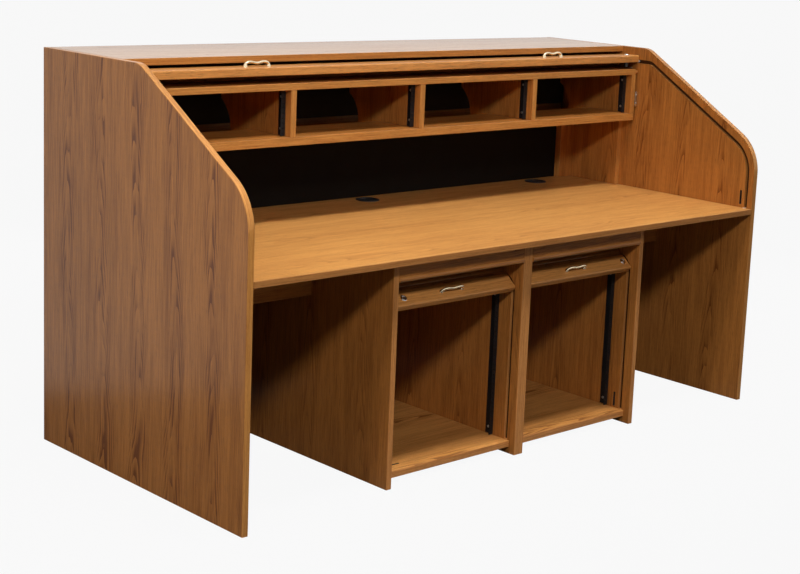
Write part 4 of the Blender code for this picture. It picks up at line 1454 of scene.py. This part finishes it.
def main_groove() -> Line:
    """The centre line of the groove in the end panels.

    Its slope runs beside the end panels' sloping edge, drawn in square to it: its
    height at the front is the edge's, less the inset over the slope's cosine.

    Returns:
        The line, from the desk up the front, up the slope and back under the top.
    """
    slope, edge, inset, behind_bends = 0.294 / 0.499, 0.876, 0.032, 0.80
    base = edge - inset / math.cos(math.atan(slope))
    return Line([(TRACK_FRONT, TRACK_FOOT, 0.0),
                 (TRACK_FRONT, base + TRACK_FRONT * slope, 0.120),
                 ((TRACK_TOP - base) / slope, TRACK_TOP, 0.040),
                 (behind_bends, TRACK_TOP, 0.0)])


@dataclass
class RollTop:
    """The main curtain: bar hardware, and slats from the bar up to the top.

    The bar turns about the pole from open to closed. A slat of the closed curtain
    turns about the same pole by its own share of that quarter turn, so at rest it
    lies put away: behind the stored curtain, over the overhead unit or in its top
    board. The first slats ride on the bar.

    Args:
        pole: Distance and height of the pole.
        outside: Height of the bar's outer face over its track.
        pull_side: How far the pulls stand from the middle.
        lock_side: How far the lock stands from the end panel.
        guide: Half length, half width and height of a nylon guide in the groove.
        pad: Half length, half width and height of a nylon pad on the desk.
        pitch: Slat pitch.
        thickness: Slat thickness.
        half: Half of a slat's length.
        end: Distance behind the front at which the slats stop under the top.
        past_curtain: Distance behind the front of the space behind the stored curtain.
        over_unit: Height and least distance of the space over the overhead unit.
        in_board: Height and least distance of the middle of its top board.
        line: Centre line of the groove.
    """

    pole: tuple[float, float] = (0.5055, 0.6425)
    outside: float = 0.022
    pull_side: float = 0.620
    lock_side: float = 0.031
    guide: tuple[float, float, float] = (0.0055, 0.0045, 0.0085)
    pad: tuple[float, float, float] = (0.0060, 0.0045, 0.0015)
    pitch: float = 0.018
    thickness: float = 0.0075
    half: float = 1.045
    end: float = 0.600
    past_curtain: float = 0.926
    over_unit: tuple[float, float] = (1.1055, 0.612)
    in_board: tuple[float, float] = (1.084, 0.5465)
    line: Line = field(default_factory=main_groove)

    def rest_turn(self, place: np.ndarray) -> tuple[float, float]:
        """How far a closed slat turns back to be put away.

        Args:
            place: Its closed distance and height.

        Returns:
            The turn in radians, and the radius it needs about the pole.
        """
        arm = place - np.array(self.pole)
        radius, angle = float(np.hypot(*arm)), math.atan2(arm[1], arm[0])
        quarter = math.pi / 2
        run = self.past_curtain - self.pole[0]
        if radius > run:
            turn = angle - math.acos(run / radius)
            if turn <= quarter:
                return turn, radius
        for height, nearest in (self.over_unit, self.in_board):
            rise, run = height - self.pole[1], nearest - self.pole[0]
            if radius * radius >= rise * rise + run * run:
                return min(angle - math.asin(rise / radius), quarter), radius
        return angle - math.atan2(rise, run), math.hypot(rise, run)

    def build(self, paint: Paint) -> None:
        """The pulls, the lock, the nylon guides and the slats.

        Args:
            paint: The finishes.
        """
        bar = Place((0.0, behind(MAIN_BAR_REST), TRACK_TOP))
        guide = plate(slot_outline(*self.guide[:2], 40), 0.0, self.guide[2], 0.0008)
        pad = plate(slot_outline(*self.pad[:2], 40), 0.0, self.pad[2], 0.0004)
        for side, label in ((-1, "left"), (1, "right")):
            place = bar.shifted(side * self.pull_side, MAIN_BAR_WIDTH / 2, self.outside)
            pull = paint.piece(f"main_pull_{label}_cast", place.put(BowPull().shape()),
                               "polished_brass", "main_bar", "brass")
            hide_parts(f"main_pull_{label}")
            start = Place((side * (HALF_INSIDE - 0.0008), behind(MAIN_BAR_REST + 0.0065),
                           TRACK_TOP), (0, 1, 0), (0, 0, 1), (side, 0, 0))
            paint.piece(f"main_bar_guide_{label}", start.put(guide), "white_nylon", "main_bar")
            foot = Place((side * (HALF_INSIDE - 0.005), behind(TRACK_FRONT), DESK_TOP + 0.0001))
            paint.piece(f"desk_bumper_{label}", foot.put(pad), "white_nylon", "carcass")
        lock = CamLock(bar.shifted(HALF_INSIDE - self.lock_side, MAIN_BAR_WIDTH / 2, 0.0),
                       self.outside, 0.0205, 0.030, (0.0, -1.0))
        lock.build(paint, "main_lock", "main_bar", "main_cam")
        self.build_slats(paint)

    def build_slats(self, paint: Paint) -> None:
        """Slats that ride on the bar, then slats with their own share of its turn.

        Args:
            paint: The finishes.
        """
        slat = Slat(self.pitch, self.thickness)
        stop = self.reach_of(self.end)
        first = MAIN_BAR_WIDTH + 2 * FIT + self.pitch / 2
        count = int((stop - first) // self.pitch) + 1
        places, ways = self.line.at(first + self.pitch * np.arange(count))
        pole = np.array(self.pole)
        straight = TRACK_FOOT + MAIN_BAR_WIDTH + 3.2 * self.pitch
        for number, (place, ahead) in enumerate(zip(places, ways)):
            out = np.array([-ahead[1], ahead[0]])
            rides = place[0] < TRACK_FRONT + 0.0005 and place[1] < straight
            if rides:
                turn, share = math.pi / 2, 1.0
            else:
                turn, radius = self.rest_turn(place)
                arm = place - pole
                place = pole + arm * radius / np.hypot(*arm)
                share = turn / (math.pi / 2)
            back = np.array([[math.cos(turn), math.sin(turn)],
                             [-math.sin(turn), math.cos(turn)]])
            rest = pole + back @ (place - pole)
            centre = np.array([behind(rest[0]), rest[1]])
            shape = slat.shape((-self.half, self.half), centre, back @ ahead, back @ out, number)
            name = f"main_slat_{number + 1:02d}"
            if rides:
                paint.piece(name, shape, "oak_slat", "main_bar", "oak_slats")
            else:
                piece = paint.piece(name, shape, "oak_slat", None, "oak_slats")
                constant_share(piece)

    def reach_of(self, distance: float) -> float:
        """How far along the line it reaches a distance behind the front on its top run."""
        beyond = self.line.points[-1, 0] - distance
        return float(self.line.length[-1] - beyond)


@dataclass
class BayDoor:
    """A lower bay's curtain: pull, lock, and slats from the bar up to the header.

    Args:
        label: Which bay.
        lock_from_left: How far the lock stands from the bay's left face.
        cam: Reach of the lock's cam.
        points: Direction of the cam at rest.
        rod_distance: Distance behind the front of the bar's rod.
        rod_closed: Height of the rod when the door is closed.
        travel: How far the rod moves.
        tilt: How far the bar leans at rest.
        middle: How far the pull and the lock stand from the rod along the bar.
        outside: Height of the bar's outer face over the rod.
        tail: How far the bar reaches above its rod when closed.
        pitch: Slat pitch.
        thickness: Slat thickness.
        crown: How much a slat's front is crowned.
        into_groove: How far the slats reach into the grooves.
        top: Height at which the slats stop.
        stack: Lowest and highest height of the slats that are put away.
    """

    label: str
    lock_from_left: float
    cam: float
    points: tuple[float, float]
    rod_distance: float = 0.082
    rod_closed: float = 0.052
    travel: float = 0.465
    tilt: float = math.radians(49.5)
    middle: float = 0.018
    outside: float = 0.008
    tail: float = 0.045
    pitch: float = 0.014
    thickness: float = 0.0065
    crown: float = 0.0010
    into_groove: float = 0.006
    top: float = 0.606
    stack: tuple[float, float] = (0.612, 0.634)

    def build(self, paint: Paint) -> None:
        """The pull, the lock and the slats.

        Args:
            paint: The finishes.
        """
        body = f"door_{self.label}"
        lean = math.pi / 2 - self.tilt
        along = (0.0, math.cos(lean), math.sin(lean))
        out = (0.0, -math.sin(lean), math.cos(lean))
        half_bay = BAY_WIDTH / 2
        bar = Place((BAY_LEFT[self.label] + half_bay, behind(self.rod_distance),
                     self.rod_closed + self.travel), (1, 0, 0), along, out)
        pull = paint.piece(f"{body}_pull_cast",
                           bar.shifted(0.0, self.middle, self.outside).put(BowPull().shape()),
                           "polished_brass", body + "_bar", "brass")
        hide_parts(body + "_pull")
        lock = CamLock(bar.shifted(self.lock_from_left - half_bay, self.middle, 0.0),
                       self.outside, 0.0255, self.cam, self.points)
        lock.build(paint, body + "_lock", body + "_bar", body + "_cam")
        self.build_slats(paint, bar)

    def build_slats(self, paint: Paint, bar: Place) -> None:
        """Slats that ride on the bar, then slats put away at a share of its travel.

        Args:
            paint: The finishes.
            bar: The bar's frame at rest.
        """
        slat = Slat(self.pitch, self.thickness, self.crown)
        left = BAY_LEFT[self.label]
        span = (left - self.into_groove, left + BAY_WIDTH + self.into_groove)
        first = self.tail + 2 * FIT + self.pitch / 2
        heights = np.arange(self.rod_closed + first, self.top, self.pitch)
        low, high = self.stack
        for number, height in enumerate(heights):
            name = f"door_{self.label}_slat_{number + 1:02d}"
            share = (low + (high - low) * number / len(heights) - height) / self.travel
            if share > 1.0:
                start = bar.shifted(0.0, height - self.rod_closed, 0.0).origin
                shape = slat.shape(span, np.array(start[1:]), np.array(bar.along[1:]),
                                   np.array(bar.out[1:]), number)
                paint.piece(name, shape, "oak_slat", f"door_{self.label}_bar", "oak_slats")
                continue
            centre = np.array([behind(self.rod_distance), height + share * self.travel])
            shape = slat.shape(span, centre, np.array([0.0, 1.0]), np.array([-1.0, 0.0]), number)
            piece = paint.piece(name, shape, "oak_slat", None, "oak_slats")
            constant_share(piece)


# Studio


def stand(piece: bpy.types.Object, axes: Sequence[np.ndarray], place: Sequence[float]) -> None:
    """Link a lamp or camera and stand it at a place.

    Args:
        piece: The lamp or camera.
        axes: World directions of its right, its up and its back.
        place: Where it stands.
    """
    piece.matrix_world = Matrix(np.block([
        [np.stack(axes, 1), np.array(place)[:, None]],
        [np.zeros((1, 3)), np.ones((1, 1))]]).tolist())
    bpy.context.scene.collection.objects.link(piece)


@dataclass(frozen=True)
class Lamp:
    """A soft rectangular lamp whose light is kept in a cone.

    Args:
        name: Its name.
        place: Where it hangs.
        aim: The point that it faces.
        size: Width and height of its face.
        power: Its power in watts.
        spread: The full angle of its cone, in degrees.
        glossy: Whether glossy surfaces mirror it.
    """

    name: str
    place: tuple[float, float, float]
    aim: tuple[float, float, float]
    size: tuple[float, float]
    power: float
    spread: float = 180.0
    glossy: bool = False

    def build(self) -> None:
        """The lamp, with its back along the line from aim to place."""
        lamp = bpy.data.lights.new(self.name, "AREA")
        lamp.shape = "RECTANGLE"
        lamp.size, lamp.size_y = self.size
        lamp.energy = self.power
        lamp.spread = math.radians(self.spread)
        piece = bpy.data.objects.new(self.name, lamp)
        piece.visible_camera = False
        piece.visible_glossy = self.glossy
        back = np.array(self.place) - np.array(self.aim)
        back /= np.linalg.norm(back)
        right = np.cross([0.0, 0.0, 1.0], back)
        right /= np.linalg.norm(right)
        stand(piece, [right, np.cross(back, right), back], self.place)


@dataclass
class Studio:
    """The pale floor, the white world, the lamps and the camera.

    Args:
        floor: Half of the floor's width.
        ambient: Strength of the world on matt surfaces.
        eye: Where the camera stands.
        azimuth: Its bearing round the console, in degrees.
        elevation: Its angle over the horizon, in degrees.
        roll: Its roll, in degrees.
        lens: Its focal length in millimetres.
        shift: Its sideways and upward shift.
    """

    # The overhead strip, the crisp lamp in front, and fills on the other three sides
    LAMPS = (
        Lamp("top_lamp", (-0.10, -1.2575, 4.2), (-0.10, -0.40, 0.67), (3.4, 0.45), 19.5, 46.0,
             True),
        Lamp("front_lamp", (-2.3, -3.0, 2.85), (0.1, 0.0, 0.5), (0.4, 0.4), 67.0),
        Lamp("left_lamp", (-3.0, -0.5, 2.7), (-1.0, 0.0, 0.9), (1.0, 1.0), 28.0),
        Lamp("right_lamp", (3.6, 0.6, 1.3), (1.0, 0.2, 0.5), (1.2, 1.2), 25.0, 120.0),
        Lamp("rear_lamp", (0.3, 3.9, 1.2), (0.0, 0.5, 0.5), (2.4, 1.0), 50.0, 120.0),
    )

    floor: float = 60.0
    ambient: float = 0.07
    eye: tuple[float, float, float] = (-3.424, -3.6851, 1.5714)
    azimuth: float = -44.835
    elevation: float = 10.304
    roll: float = 2.766
    lens: float = 72.88
    shift: tuple[float, float] = (-0.100, -0.08375)

    def seen_flag(self, tree: Tree, share: Value = 1.0) -> bpy.types.NodeSocket:
        """A flag for the rays that show the background.

        Args:
            tree: The tree that it is made in.
            share: What glossy and transmitted rays get.

        Returns:
            One for camera rays, share for glossy and transmitted ones, zero for others.
        """
        path = tree.node("ShaderNodeLightPath")
        indirect = tree.math("MAXIMUM", path.outputs["Is Glossy Ray"],
                             path.outputs["Is Transmission Ray"])
        return tree.math("MAXIMUM", path.outputs["Is Camera Ray"],
                         tree.math("MULTIPLY", indirect, share))

    def build_world(self) -> None:
        """A white world that lights matt surfaces less than it shows."""
        world = bpy.data.worlds.new("studio")
        bpy.context.scene.world = world
        world.use_nodes = True
        tree = Tree(world.node_tree)
        shader = world.node_tree.nodes["Background"]
        shader.inputs["Color"].default_value = (1.0, 1.0, 1.0, 1.0)
        flag = self.seen_flag(tree)
        strength = tree.math("ADD", tree.math("MULTIPLY", flag, 1.0 - self.ambient), self.ambient)
        tree.feed(shader.inputs["Strength"], strength)

    def build_floor(self) -> None:
        """A pale floor that shows almost white and keeps a soft shadow."""
        mesh = bpy.data.meshes.new("floor")
        corners = self.floor * np.array([(-1, -1), (1, -1), (1, 1), (-1, 1)], float)
        mesh.from_pydata(np.column_stack([corners, np.full(4, -FIT)]).tolist(), [],
                         [(0, 1, 2, 3)])
        floor = bpy.data.objects.new("floor", mesh)
        bpy.context.scene.collection.objects.link(floor)
        material, tree, shader = start_material("pale_floor")
        shader.inputs["Base Color"].default_value = (0.150, 0.146, 0.142, 1.0)
        shader.inputs["Roughness"].default_value = 0.9
        glow = tree.node("ShaderNodeEmission")
        blend = tree.node("ShaderNodeMixShader")
        source = tree.node("ShaderNodeTexCoord")
        way = tree.node("ShaderNodeVectorMath", operation="DOT_PRODUCT")
        tree.feed(way.inputs[0], source.outputs["Object"])
        tree.feed(way.inputs[1], (-0.6, 0.8, 0.0))
        far = tree.spread(way.outputs["Value"], 1.42, 1.64, 0.0, 1.0)
        tree.feed(blend.inputs[0], tree.math("MULTIPLY", self.seen_flag(tree, far), 0.93))
        tree.feed(blend.inputs[1], shader.outputs[0])
        tree.feed(blend.inputs[2], glow.outputs[0])
        output = material.node_tree.nodes["Material Output"]
        tree.feed(output.inputs["Surface"], blend.outputs[0])
        mesh.materials.append(material)

    def build_camera(self) -> None:
        """The camera, with its axes from bearing, elevation and roll."""
        a, e, r = (math.radians(v) for v in (self.azimuth, self.elevation, self.roll))
        back = np.array([math.sin(a) * math.cos(e), -math.cos(a) * math.cos(e), math.sin(e)])
        right = np.array([math.cos(a), math.sin(a), 0.0])
        up = np.cross(back, right)
        axes = [right * math.cos(r) + up * math.sin(r), up * math.cos(r) - right * math.sin(r),
                back]
        data = bpy.data.cameras.new("camera")
        data.sensor_width, data.lens = 36.0, self.lens
        data.shift_x, data.shift_y = self.shift
        data.clip_end = 60.0
        camera = bpy.data.objects.new("camera", data)
        stand(camera, axes, self.eye)
        bpy.context.scene.camera = camera

    def build(self) -> None:
        """Everything round the console."""
        scene = bpy.context.scene
        scene.view_settings.view_transform = "Standard"
        self.build_world()
        self.build_floor()
        self.build_camera()
        for lamp in self.LAMPS:
            lamp.build()


def main() -> None:
    """Dress the frame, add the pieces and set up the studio."""
    logging.basicConfig(level=logging.INFO, format="%(name)s: %(message)s")
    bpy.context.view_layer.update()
    paint = Paint()
    Carcass().build(paint)
    screws = Screws()
    screws.build(paint)
    Brackets().build(paint, screws)
    StrikeLiners().build(paint)
    Grommets().build(paint)
    RollTop().build(paint)
    BayDoor("left", 0.061, 0.033, (-1.0, 0.0)).build(paint)
    BayDoor("right", BAY_WIDTH - 0.022, 0.021, (0.0, -1.0)).build(paint)
    Studio().build()
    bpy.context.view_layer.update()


if __name__ == "__main__":
    main()
